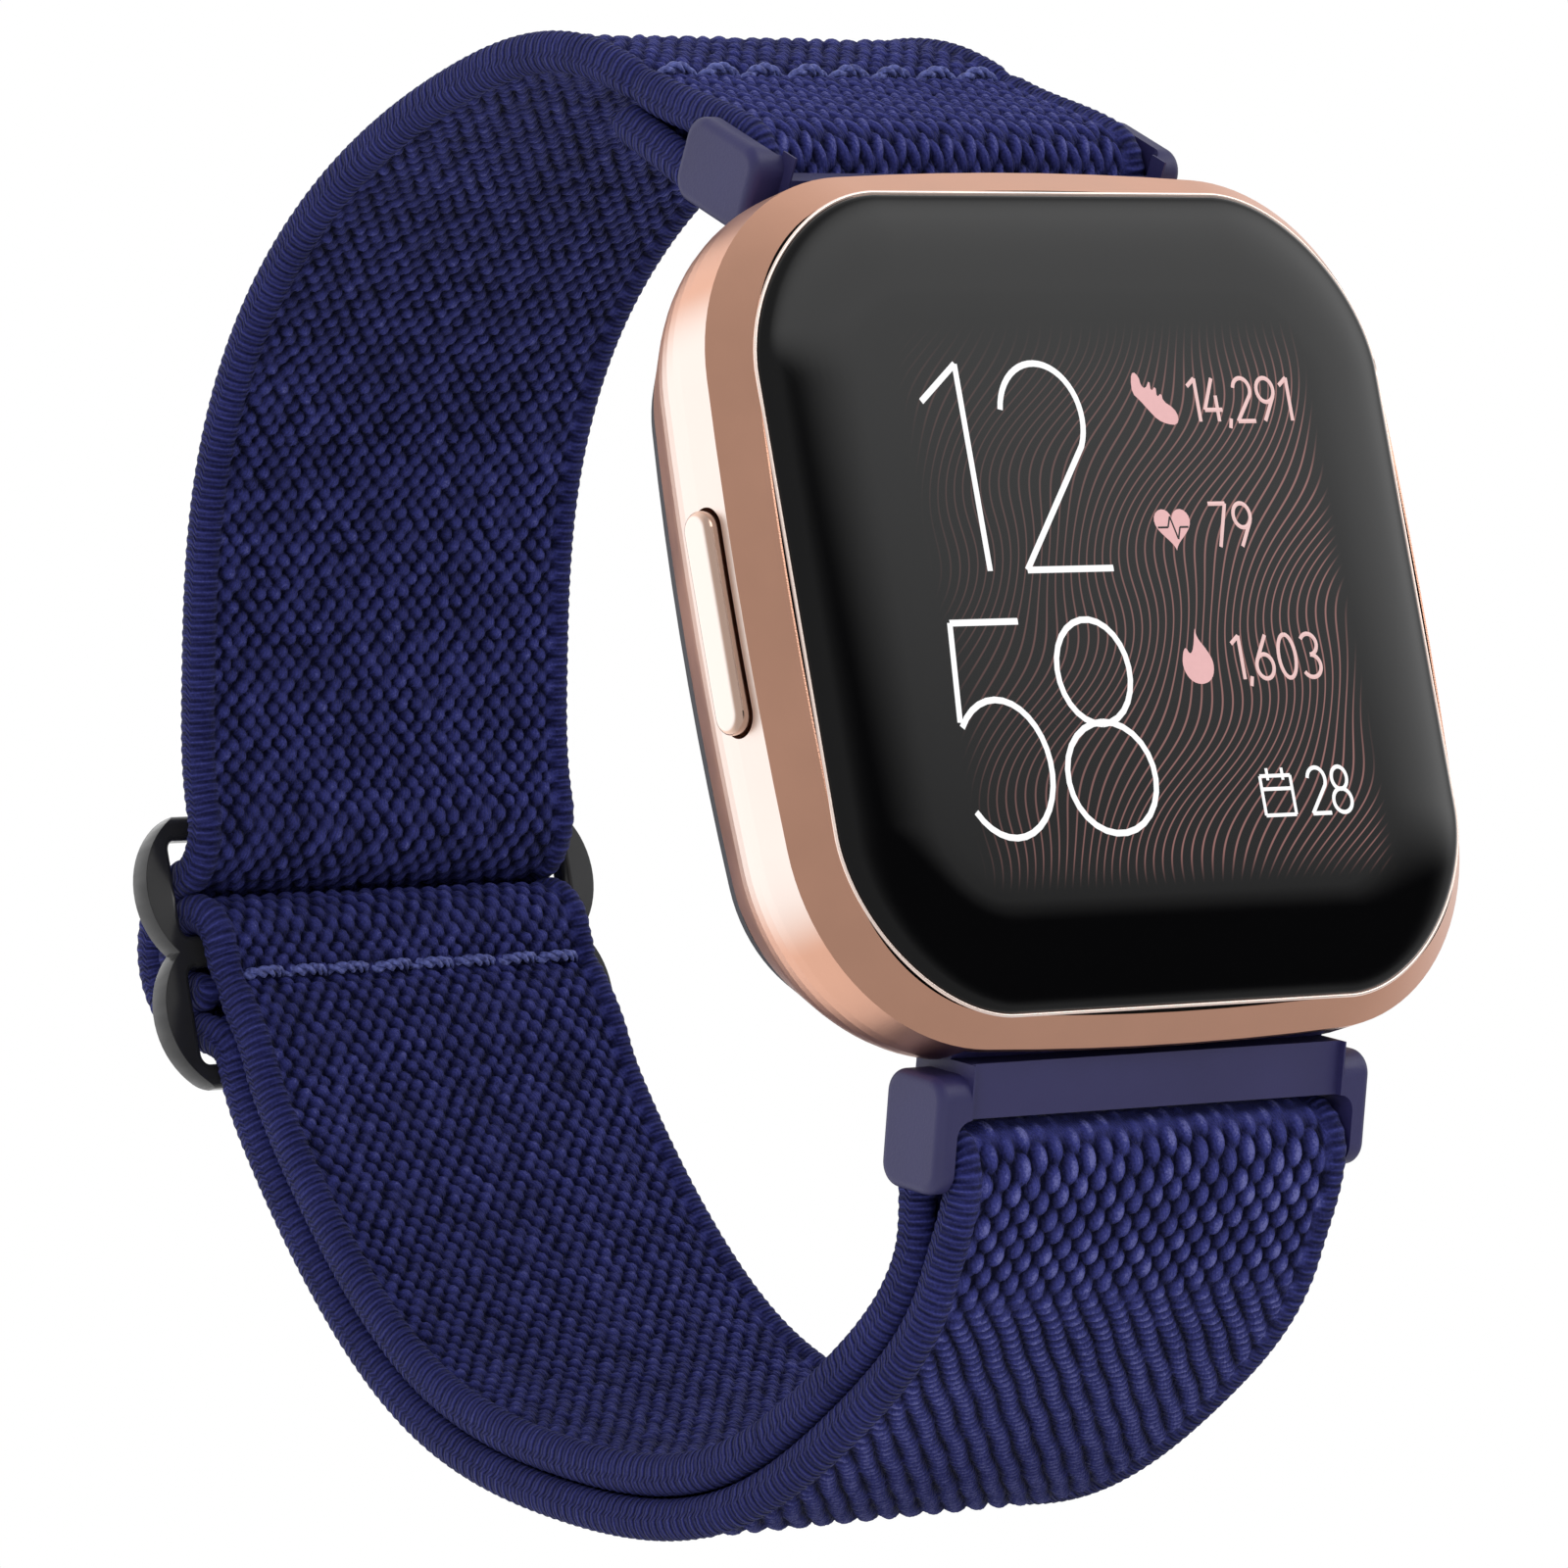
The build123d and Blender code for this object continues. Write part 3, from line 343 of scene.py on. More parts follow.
def cross_section():
    """Closed outline of the band as rows of x, n, normal x, normal n, face (1 outside, -1 wrist, 0 rim)."""
    face_half = BAND_HALF_WIDTH - RIM_WIDTH
    rim_x = BAND_HALF_WIDTH - RIM_BULGE
    sweep = np.radians(np.linspace(RIM_SWEEP, -RIM_SWEEP, RIM_SAMPLES))
    rows = []
    for x in np.linspace(-face_half, face_half, FACE_SAMPLES):
        rows.append((x, FACE_LEVEL, 0.0, 1.0, 1.0))
    for angle in sweep:
        nx, nn = cos(angle), sin(angle)
        rows.append((rim_x + RIM_BULGE * nx, RIM_HALF_THICKNESS * nn, nx, nn, 0.0))
    for x in np.linspace(face_half, -face_half, FACE_SAMPLES):
        rows.append((x, -FACE_LEVEL, 0.0, -1.0, -1.0))
    for angle in sweep[::-1]:
        nx, nn = -cos(angle), sin(angle)
        rows.append((RIM_BULGE * nx - rim_x, RIM_HALF_THICKNESS * nn, nx, nn, 0.0))
    return np.array(rows)


def knitted(name, path, outside, wrist, start_at=0.0, ends=(False, False), seams=()):
    """A knitted stretch of band along a path. outside and wrist give each face's pattern height."""
    total = lengths(path)[-1]
    count = int(total / ROW_STEP)
    at = np.linspace(0, total, count + 1)
    source = lengths(path)
    middle = np.stack([np.interp(at, source, path[:, k]) for k in (0, 1)], 1)
    t = headings(middle)
    normal = np.stack([-t[:, 1], t[:, 0]], 1)
    section = cross_section()
    x, n, nx, nn, side = (section[:, k][None, :] for k in range(5))
    v = (at + start_at)[:, None]
    x_all, v_all = np.broadcast_arrays(x, v)
    loops = np.where(side > 0, outside(x_all, v_all), np.where(side < 0, wrist(x_all, v_all), 0.0))
    rope = 0.5 + 0.5 * np.cos(2 * pi * v_all / WRAP_PITCH + np.arctan2(nn, np.abs(nx) + 1e-6) * 1.1)
    fade = smooth((BAND_HALF_WIDTH - RIM_WIDTH + 0.05 - np.abs(x_all)) / 0.5)
    push = np.where(side == 0, WRAP_HEIGHT * rope, LOOP_HEIGHT * loops * (0.35 + 0.65 * fade))
    for seam_at, depth, face in seams:
        groove = depth * np.exp(-((at[:, None] - seam_at) / SEAM_WIDTH) ** 2)
        push = push - groove * np.where(side == 0, 0.4, np.where(side == face, 1.0, 0.15))
    thin = np.ones_like(at)
    if ends[0]:
        thin *= np.sqrt(np.clip(at / END_ROUNDING, 0.02, 1))
    if ends[1]:
        thin *= np.sqrt(np.clip((total - at) / END_ROUNDING, 0.02, 1))
    across = x + nx * push
    off = (n + nn * push) * thin[:, None]
    y = middle[:, 0][:, None] + normal[:, 0][:, None] * off
    z = middle[:, 1][:, None] + normal[:, 1][:, None] * off
    points = np.stack([np.broadcast_to(across, y.shape), y, z], 2)
    # the height also colours the yarn in knit_yarn: painted shade in the gaps, a painted sheen on the loop
    # tops and the rim wraps
    height = np.where(side == 0, 0.33 + 0.30 * rope, loops)
    return swept(name, points, {"height": height, "rim": np.where(side == 0, 1.0, 0.0) + 0 * v_all,
                                "across": x_all, "along": v_all,
                                "turn": np.arctan2(nn, nx) + 0 * v_all})


def swept(name, points, values):
    """A closed tube through rings of points, with a value of each kind at every point."""
    rings, around = points.shape[:2]
    vertices = (points.reshape(-1, 3) * MM).tolist()
    i, j = np.meshgrid(np.arange(rings - 1), np.arange(around), indexing="ij")
    k = (j + 1) % around
    quads = np.stack([i * around + j, i * around + k, (i + 1) * around + k, (i + 1) * around + j], 2)
    faces = quads.reshape(-1, 4).tolist()
    faces.append(list(range(around))[::-1])
    faces.append(list(range((rings - 1) * around, rings * around)))
    mesh = bpy.data.meshes.new(name)
    mesh.from_pydata(vertices, [], faces)
    for key, value in values.items():
        layer = mesh.attributes.new(key, "FLOAT", "POINT")
        layer.data.foreach_set("value", np.ascontiguousarray(value, np.float32).ravel())
    mesh.shade_smooth()
    piece = bpy.data.objects.new(name, mesh)
    bpy.context.scene.collection.objects.link(piece)
    facing_out(piece)
    return piece


def facing_out(piece):
    """Turns every face outwards if the closed mesh came out inside out."""
    mesh = piece.data
    mesh.calc_loop_triangles()
    corners = np.zeros(len(mesh.loop_triangles) * 3, np.int32)
    mesh.loop_triangles.foreach_get("vertices", corners)
    places = np.zeros(len(mesh.vertices) * 3, np.float32)
    mesh.vertices.foreach_get("co", places)
    a, b, c = (places.reshape(-1, 3)[corners.reshape(-1, 3)[:, k]].astype(float) for k in range(3))
    if np.einsum("ij,ij->i", a, np.cross(b, c)).sum() < 0:
        mesh.flip_normals()


# ---- materials ----
FINE_WRAP = 0.27                         # pitch of the yarn's own lines round the rim
STRAND_ACROSS, STRAND_ALONG = 0.16, 0.55   # pitches of the strands twisted into each loop
ROSE = (0.80, 0.435, 0.305)
# pale tint painted on the metal where it faces the sides, as a highlight
SIDE_HIGHLIGHT_ROSE = (0.88, 0.76, 0.70)


class Shader:
    """A Principled material and short ways to add nodes to it."""

    def __init__(self, name, **inputs):
        self.material = bpy.data.materials.new(name)
        self.material.use_nodes = True
        self.tree = self.material.node_tree
        self.surface = next(n for n in self.tree.nodes if n.type == "BSDF_PRINCIPLED")
        for key, value in inputs.items():
            self.surface.inputs[key.replace("_", " ")].default_value = value

    def add(self, kind, settings=None, **links):
        new = self.tree.nodes.new(kind)
        for key, value in (settings or {}).items():
            setattr(new, key, value)
        for key, value in links.items():
            self.put(new, key.replace("_", " "), value)
        return new

    def put(self, target, key, value):
        socket = target.inputs[int(key)] if key.isdigit() else target.inputs[key]
        if hasattr(value, "is_output") or hasattr(value, "links"):
            self.tree.links.new(value, socket)
        else:
            socket.default_value = value

    def maths(self, operation, *values):
        new = self.add("ShaderNodeMath", {"operation": operation})
        for k, value in enumerate(values):
            self.put(new, str(k), value)
        return new.outputs[0]

    def place(self):
        return self.add("ShaderNodeNewGeometry").outputs["Position"]

    def noise(self, scale, detail=3.0, vector=None):
        new = self.add("ShaderNodeTexNoise", Scale=scale, Detail=detail)
        self.tree.links.new(vector or self.place(), new.inputs["Vector"])
        return new.outputs["Fac"]

    def value(self, attribute):
        return self.add("ShaderNodeAttribute", {"attribute_name": attribute}).outputs["Fac"]

    def ramp(self, fac, *stops):
        new = self.add("ShaderNodeValToRGB")
        self.tree.links.new(fac, new.inputs["Fac"])
        spots = new.color_ramp.elements
        while len(spots) < len(stops):
            spots.new(0.5)
        for spot, (position, colour) in zip(spots, stops):
            spot.position = position
            spot.color = (*colour, 1) if len(colour) == 3 else colour
        return new.outputs["Color"]

    def step(self, value, low, high):
        """0 below low, 1 above high and smooth between them."""
        new = self.add("ShaderNodeMapRange", {"interpolation_type": "SMOOTHSTEP"})
        self.put(new, "Value", value)
        self.put(new, "From Min", low)
        self.put(new, "From Max", high)
        return new.outputs["Result"]

    def bump(self, height, distance, strength=1.0, below=None):
        new = self.add("ShaderNodeBump", Strength=strength, Distance=distance, Height=height)
        if below is not None:
            self.tree.links.new(below, new.inputs["Normal"])
        return new.outputs["Normal"]

    def feed(self, key, output):
        self.tree.links.new(output, self.surface.inputs[key])


def knit_yarn():
    """Dyed polyester yarn with fuzz and fine twist lines; its colour follows the loop height, so the dark
    gaps between the loops are painted shade and the paler loop tops a painted sheen.
    """
    s = Shader("knit_yarn", Roughness=0.72, Specular_IOR_Level=0.14)
    height = s.value("height")
    rim = s.value("rim")
    fibre = s.noise(9000.0, 2.0)
    patch = s.noise(350.0, 2.0)
    tone = s.maths("ADD", height, s.maths("MULTIPLY", s.maths("SUBTRACT", fibre, 0.5), 0.5))
    tone = s.maths("ADD", tone, s.maths("MULTIPLY", s.maths("SUBTRACT", patch, 0.5), 0.25))
    along = s.value("along")
    lean = s.maths("MULTIPLY", s.value("turn"), 1.2)
    wrap = s.maths("SINE", s.maths("ADD", s.maths("MULTIPLY", along, 2 * pi / FINE_WRAP), lean))
    tone = s.maths("ADD", tone, s.maths("MULTIPLY", s.maths("MULTIPLY", wrap, rim), 0.14))
    # painted shade and sheen: the ramp runs from near black in the gaps (low height) to a pale greyish blue
    # on the loop tops (high height)
    colour = s.ramp(tone, (0.10, (0.0004, 0.0008, 0.015)), (0.42, (0.0085, 0.0098, 0.060)),
                    (0.78, (0.026, 0.030, 0.150)), (1.0, (0.095, 0.10, 0.27)))
    s.feed("Base Color", colour)
    s.surface.inputs["Sheen Weight"].default_value = 0.04
    s.surface.inputs["Sheen Roughness"].default_value = 0.45
    s.surface.inputs["Sheen Tint"].default_value = (0.45, 0.48, 0.95, 1)
    strands = s.maths("SINE", s.maths("ADD", s.maths("MULTIPLY", s.value("across"), 2 * pi / STRAND_ACROSS),
                                     s.maths("MULTIPLY", along, 2 * pi / STRAND_ALONG)))
    rim_bump = s.maths("MULTIPLY", wrap, rim)
    face_bump = s.maths("MULTIPLY", strands, s.maths("SUBTRACT", 1.0, rim))
    threads = s.maths("ADD", s.maths("MULTIPLY", rim_bump, 1.1), s.maths("MULTIPLY", face_bump, 0.35))
    fuzz = s.bump(s.maths("ADD", threads, s.maths("MULTIPLY", fibre, 1.1)), 0.00006, 0.9)
    s.feed("Normal", fuzz)
    return s.material


def seam_thread():
    s = Shader("seam_thread", Roughness=0.6, Base_Color=(0.05, 0.06, 0.24, 1))
    twist = s.noise(5000.0, 2.0)
    s.feed("Base Color", s.ramp(twist, (0.3, (0.020, 0.024, 0.11)), (0.7, (0.10, 0.12, 0.36))))
    s.surface.inputs["Sheen Weight"].default_value = 0.05
    s.feed("Normal", s.bump(twist, 0.00004))
    return s.material


def blasted_metal(name, colour, grain=0.5, roughness=0.34, polished_front=None):
    """Bead-blasted, anodised metal with a fine grain and a painted highlight: its colour turns pale rose
    where it faces the sides (±x).
    """
    s = Shader(name, Metallic=1.0, Roughness=roughness)
    fine = s.noise(16000.0, 2.0)
    broad = s.noise(260.0, 3.0)
    dark = tuple(c * 0.93 for c in colour)
    tint = s.ramp(broad, (0.3, dark), (0.7, colour))
    # painted highlight: where the normal points along ±x, the base colour is mixed towards a pale rose
    facing = s.add("ShaderNodeSeparateXYZ", Vector=s.add("ShaderNodeNewGeometry").outputs["Normal"])
    side_highlight = s.step(s.maths("ABSOLUTE", facing.outputs[0]), 0.86, 0.985)
    blend = s.add("ShaderNodeMix", {"data_type": "RGBA"})
    for socket, value in zip((blend.inputs[0], blend.inputs[6]), (side_highlight, tint)):
        s.tree.links.new(value, socket)
    blend.inputs[7].default_value = (*SIDE_HIGHLIGHT_ROSE, 1)
    s.feed("Base Color", blend.outputs[2])
    rough = s.maths("ADD", roughness - 0.05, s.maths("MULTIPLY", broad, 0.1))
    if polished_front is not None:
        split = s.add("ShaderNodeSeparateXYZ", Vector=s.place())
        rim = s.maths("LESS_THAN", split.outputs[1], -polished_front * MM)
        rough = s.maths("MULTIPLY", rough, s.maths("SUBTRACT", 1.0, s.maths("MULTIPLY", rim, 0.6)))
    s.feed("Roughness", rough)
    s.feed("Normal", s.bump(fine, 0.00001, grain))
    return s.material


def brushed(name, colour, roughness=0.3):
    s = Shader(name, Metallic=1.0, Roughness=roughness, Base_Color=(*colour, 1))
    streak = s.noise(3000.0, 4.0)
    s.feed("Roughness", s.maths("ADD", roughness - 0.08, s.maths("MULTIPLY", streak, 0.16)))
    s.feed("Normal", s.bump(streak, 0.000008, 0.5))
    return s.material


def moulded(name, colour, roughness=0.5, pits=0.5, scale=9000.0):
    """Moulded plastic with a spark-eroded surface and slightly uneven tone."""
    s = Shader(name, Roughness=roughness, Specular_IOR_Level=0.45)
    fine, broad = s.noise(scale, 3.0), s.noise(220.0, 3.0)
    dark = tuple(c * 0.86 for c in colour)
    s.feed("Base Color", s.ramp(broad, (0.3, dark), (0.7, colour)))
    s.feed("Roughness", s.maths("ADD", roughness - 0.06, s.maths("MULTIPLY", fine, 0.12)))
    s.feed("Normal", s.bump(fine, 0.00002, pits))
    return s.material


def clear_glass(name, tint=(0.8, 0.8, 0.82), roughness=0.0):
    s = Shader(name, Roughness=roughness, IOR=1.5, Base_Color=(*tint, 1))
    s.surface.inputs["Transmission Weight"].default_value = 1.0
    smear = s.noise(120.0, 2.0)
    s.feed("Roughness", s.maths("MULTIPLY", s.maths("GREATER_THAN", smear, 0.9), 0.02))
    return s.material


def screen_glass():
    """Black glass over a lit display: thin wavy lines that fade towards the edges of the picture."""
    s = Shader("screen_glass", Roughness=0.02, IOR=1.5, Specular_IOR_Level=0.27)
    s.surface.inputs["Base Color"].default_value = (0.0015, 0.0015, 0.0017, 1)
    split = s.add("ShaderNodeSeparateXYZ", Vector=s.place())
    x, z = (s.maths("MULTIPLY", split.outputs[k], 1 / MM) for k in (0, 2))
    drift = s.maths("ADD", x, s.maths("MULTIPLY", z, -0.55))
    slow = s.maths("SINE", s.maths("ADD", s.maths("MULTIPLY", z, 0.42), s.maths("MULTIPLY", x, 0.16)))
    quick = s.maths("SINE", s.maths("ADD", s.maths("MULTIPLY", z, 0.95), s.maths("MULTIPLY", x, -0.40)))
    phase = s.maths("ADD", s.maths("DIVIDE", drift, LINE_PITCH), s.maths("MULTIPLY", slow, 1.9))
    phase = s.maths("ADD", phase, s.maths("MULTIPLY", quick, 0.55))
    wave = s.maths("ABSOLUTE", s.maths("SINE", s.maths("MULTIPLY", phase, pi)))
    line = s.maths("SUBTRACT", 1.0, s.step(wave, 0.16, 0.36))
    inside = s.maths("MULTIPLY", s.step(x, -11.2, -9.0), s.maths("SUBTRACT", 1.0, s.step(x, 11.8, 13.2)))
    level = s.maths("MULTIPLY", s.step(z, -13.4, -11.5), s.maths("SUBTRACT", 1.0, s.step(z, 8.5, 12.6)))
    slant = s.step(s.maths("SUBTRACT", x, s.maths("MULTIPLY", z, 0.55)), -12.0, 9.0)
    towards_right = s.maths("ADD", 0.18, s.maths("MULTIPLY", slant, 0.82))
    fade = s.maths("MULTIPLY", s.maths("MULTIPLY", inside, level), towards_right)
    s.feed("Emission Strength", s.maths("MULTIPLY", s.maths("MULTIPLY", line, fade), 0.34))
    s.surface.inputs["Emission Color"].default_value = (0.80, 0.36, 0.33, 1)
    return s.material


def lit(name, colour, strength):
    """A lit part of the picture, with the faint unevenness of a display."""
    s = Shader(name, Roughness=0.3, Base_Color=(0.01, 0.01, 0.01, 1))
    s.surface.inputs["Emission Color"].default_value = (*colour, 1)
    grain = s.noise(4000.0, 1.0)
    s.feed("Emission Strength", s.maths("ADD", strength - 0.04, s.maths("MULTIPLY", grain, 0.08)))
    return s.material


def give(material, *names):
    """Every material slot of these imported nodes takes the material."""
    for name in names:
        slots = nodes[name].material_slots
        if len(slots) == 0:
            nodes[name].data.materials.append(material)
        for slot in slots:
            slot.material = material


def finished(piece, material, bodies, ends=None, stands_for=()):
    """Material and slot for one new piece: without ends it is attached to the first of its bodies, with
    ends its transform is baked in; the parts it stands for are hidden.
    """
    piece.data.materials.append(material)
    if ends:
        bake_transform(piece)
    else:
        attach(piece, bodies[0])
    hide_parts(*stands_for)
    return piece


# ---- band pieces ----
def build_band():
    yarn = knit_yarn()
    run, loop = top_run(), top_loop()
    loop_length = lengths(loop)[-1]
    seam_at = loop_length + TOP_SEAM

    def top_outside(x, v):
        return np.where(v < seam_at - 0.2, braid(x, v), nubs(x, v))

    path = joined(loop, cut(run, 0, UPPER_SPLIT))
    seams = [(seam_at - 0.4, 0.4, 1)]
    piece = knitted("knit_top", path, top_outside, nubs, ends=(True, False), seams=seams)
    finished(piece, yarn, ("top_link", "case"), ((0, 5.0, 28.5), (0, 16.5, 31.5)),
             ("band_top_loop", "band_top_flex"))

    path = joined(cut(run, UPPER_SPLIT, None), slider_pass())
    piece = knitted("knit_upper", path, nubs, nubs, start_at=loop_length + UPPER_SPLIT)
    finished(piece, yarn, ("case", "slider"), ((0, 44, 10.2), (0, 44, 3.6)),
             ("band_upper", "band_upper_stretch", "band_slider_pass"))

    apart = (PLY + PLY_GAP) / 2
    outer, inner = beside(lower_run(), apart), beside(lower_run(), -apart)
    piece = knitted("knit_outer", cut(outer, 0, LOWER_SPLIT), ribs, nubs)
    finished(piece, yarn, ("slider", "case"), ((0, 44, -9.6), (0, 42, -16.8)),
             ("band_outer_stretch",))

    start = cut(outer, LOWER_SPLIT, None)
    turn = bottom_turn()
    back = cut(inner, LOWER_SPLIT, None)[::-1]
    path = joined(start, turn, back)
    bar_at = lengths(start)[-1] + lengths(turn)[-1] / 2

    def bottom_outside(x, v):
        near = smooth((v - LOWER_SPLIT - bar_at + BEADS_FROM) / BEADS_FADE)
        front = ribs(x, v) * (1 - near) + beads(x, v) * near
        from_bar = v - LOWER_SPLIT - bar_at
        filling = 0.6 * (1 - smooth((np.abs(from_bar) - 0.7) / 0.6))
        return np.maximum(np.where(from_bar < 0, front, nubs(x, v)), filling)

    piece = knitted("knit_bottom", path, bottom_outside, nubs, start_at=LOWER_SPLIT)
    finished(piece, yarn, ("case", "bottom_link"), ((0, 13.0, -35.6), (0, -3.2, -27.6)),
             ("band_outer", "band_outer_flex", "band_bottom_loop", "band_inner_flex"))

    path = joined(cut(inner, 0, LOWER_SPLIT)[::-1], slider_loop())
    seam_at = lengths(cut(inner, 0, LOWER_SPLIT))[-1] + SLIDER_SEAM_Z - LOWER_RUN[0][1]
    piece = knitted("knit_inner", path, nubs, nubs, ends=(False, True), seams=[(seam_at, 0.35, 1)])
    finished(piece, yarn, ("case", "slider"), ((0, 42, -16.8), (0, 44, -9.6)),
             ("band_inner", "band_inner_stretch", "band_slider_loop"))


build_band()

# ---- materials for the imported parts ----
give(blasted_metal("rose_case", ROSE, polished_front=11.12), "case_body")
give(blasted_metal("rose_button", (0.86, 0.60, 0.48), 0.2, 0.2), "button_cap")
give(clear_glass("plain_glass"), "cover_glass")
give(clear_glass("sensor_glass", (0.25, 0.25, 0.28)), "sensor_window")
give(moulded("display_black", (0.004, 0.004, 0.005), 0.25), "display_panel")
give(moulded("black_seal", (0.01, 0.01, 0.01), 0.7), "glass_seal", "back_gasket", "button_seal")
give(moulded("cover_plastic", (0.035, 0.035, 0.04), 0.5), "back_cover")
give(moulded("navy_plastic", (0.020, 0.018, 0.078), 0.5, 0.6), "top_connector", "bottom_connector")
give(moulded("gloss_black", (0.016, 0.016, 0.017), 0.2, 0.1), "slider_buckle")
give(moulded("inner_plastic", (0.05, 0.05, 0.055), 0.5), "mid_frame", "button_switch", "processor")
give(moulded("green_board", (0.01, 0.10, 0.05), 0.45), "main_board", "sensor_board")
give(moulded("amber_flex", (0.35, 0.16, 0.02), 0.4), "display_flex", "sensor_flex", "radio_antenna")
give(moulded("cell_wrap", (0.06, 0.065, 0.075), 0.45), "battery")
give(moulded("emitters", (0.10, 0.45, 0.15), 0.25), "sensor_leds", "photodiodes")
give(brushed("contact_gold", (0.95, 0.70, 0.34), 0.22), "charging_contacts")
give(brushed("spring_steel", (0.62, 0.62, 0.63)), "frame_screws", "processor_shield", "vibration_motor",
     "button_clip", "button_dome", "microphone", "top_bar_tube", "bottom_bar_tube", "top_fixed_tip",
     "bottom_fixed_tip", "top_release_tip", "bottom_release_tip", "top_tip_spring", "bottom_tip_spring")


# ---- sewing ----
def twisted_stitches(name, node, body):
    """A row of short two-strand stitches along a packed seam, each slanting its own way."""
    low, high = (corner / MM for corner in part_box(node))
    middle = (low + high) / 2
    into_y, into_z = INTO_BAND[node]
    pitch = (high.x - low.x) / STITCH_COUNT
    made = []
    for k in range(STITCH_COUNT):
        start_x = low.x + pitch * (k + 0.5)
        slope = 0.2 * (chance(k, 0, 9) - 0.5)
        for phase in (0, pi):
            t = np.linspace(-0.5, 0.5, 34)
            swirl = phase + 2 * pi * STITCH_TURNS * t + k
            sink = STITCH_DEPTH + STITCH_DIVE * (2 * t) ** 2
            x = start_x + t * pitch * 1.02
            y = middle.y + STITCH_SWIRL * np.cos(swirl) + sink * into_y
            z = middle.z + STITCH_SWIRL * np.sin(swirl) + slope * 2 * t + sink * into_z
            made.append(tube(np.stack([x, y, z], 1), STITCH_RADIUS))
    piece = merged(name, made)
    finished(piece, seam_thread(), (body,), stands_for=(node,))


def tube(path, radius, sides=8):
    """Rings of a round thread along a path of (x, y, z) that runs mostly along x."""
    rings = []
    for point in path:
        rings.append([(point[0], point[1] + radius * cos(a), point[2] + radius * sin(a))
                      for a in np.linspace(0, 2 * pi, sides + 1)[:-1]])
    return np.array(rings)


def merged(name, tubes):
    """One piece from several tubes of rings."""
    parts = [swept(f"{name}_{k}", rings, {}) for k, rings in enumerate(tubes)]
    with bpy.context.temp_override(active_object=parts[0], selected_editable_objects=parts):
        bpy.ops.object.join()
    parts[0].name = name
    return parts[0]


twisted_stitches("top_stitches", "top_seam", "top_link")
twisted_stitches("slider_stitches", "slider_seam", "slider")


# ---- softened edges ----
def soften(name, width, angle=30.0):
    """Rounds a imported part's sharp edges with modifiers, which leave its mesh as it is."""
    part = nodes[name]
    weld = part.modifiers.new("weld", "WELD")
    weld.merge_threshold = 0.002 * MM
    bevel = part.modifiers.new("soft_edges", "BEVEL")
    bevel.width = width * MM
    bevel.segments = 3
    bevel.angle_limit = radians(angle)
    bevel.harden_normals = True


for name in ("top_connector", "bottom_connector"):
    soften(name, 0.28)
soften("slider_buckle", 0.2)


# ---- glass and the bright line round it ----
GLASS_HALF_WIDTH, GLASS_HALF_HEIGHT, GLASS_CORNER = 18.3, 18.75, 8.3
SIDE_BULGE = 0.9
RIM_HEIGHT = 11.2
GLASS_BACK, GLASS_EDGE, DOME_RISE, DOME_REACH = 10.6, 11.25, 0.85, 4.6


def face_border(inset, count=72):
    """Border of the glass drawn in by inset: four bulged sides with round corners, as (x, z)."""
    wide, tall, corner = GLASS_HALF_WIDTH - inset, GLASS_HALF_HEIGHT - inset, GLASS_CORNER - inset
    points = []
    for quarter in range(4):
        sx, sz = ((1, 1), (-1, 1), (-1, -1), (1, -1))[quarter]
        angles = np.linspace(0, pi / 2, count)
        if quarter % 2:
            angles = angles[::-1]
        for a in angles:
            x = wide - corner + corner * cos(a)
            z = tall - corner + corner * sin(a)
            x -= SIDE_BULGE * min(1.0, z / tall) ** 2 * cos(a)
            z -= SIDE_BULGE * min(1.0, x / wide) ** 2 * sin(a)
            points.append((sx * x, sz * z))
    loop = np.array(points)
    steps = np.linalg.norm(np.roll(loop, -1, axis=0) - loop, axis=1)
    at = np.concatenate([[0], np.cumsum(steps)])
    loop = np.concatenate([loop, loop[:1]])
    even = np.linspace(0, at[-1], 4 * count + 1)[:-1]
    return np.stack([np.interp(even, at, loop[:, k]) for k in (0, 1)], 1)


def build_glass():
    """Smoothly curved cover glass."""
    rings = [(GLASS_BACK, 0.35), (GLASS_BACK, 0.0), (GLASS_EDGE - 0.3, 0.0)]
    for angle in np.linspace(0, pi / 2, 15):
        rings.append((GLASS_EDGE + DOME_RISE * sin(angle), DOME_REACH * (1 - cos(angle))))
    rings.append((GLASS_EDGE + DOME_RISE, DOME_REACH + 1.0))
    points = []
    for height, inset in rings:
        border = face_border(inset)
        points.append([(x, -height, z) for x, z in border])
    piece = swept("glass", np.array(points), {})
    finished(piece, screen_glass(), ("case",), stands_for=("cover_glass",))


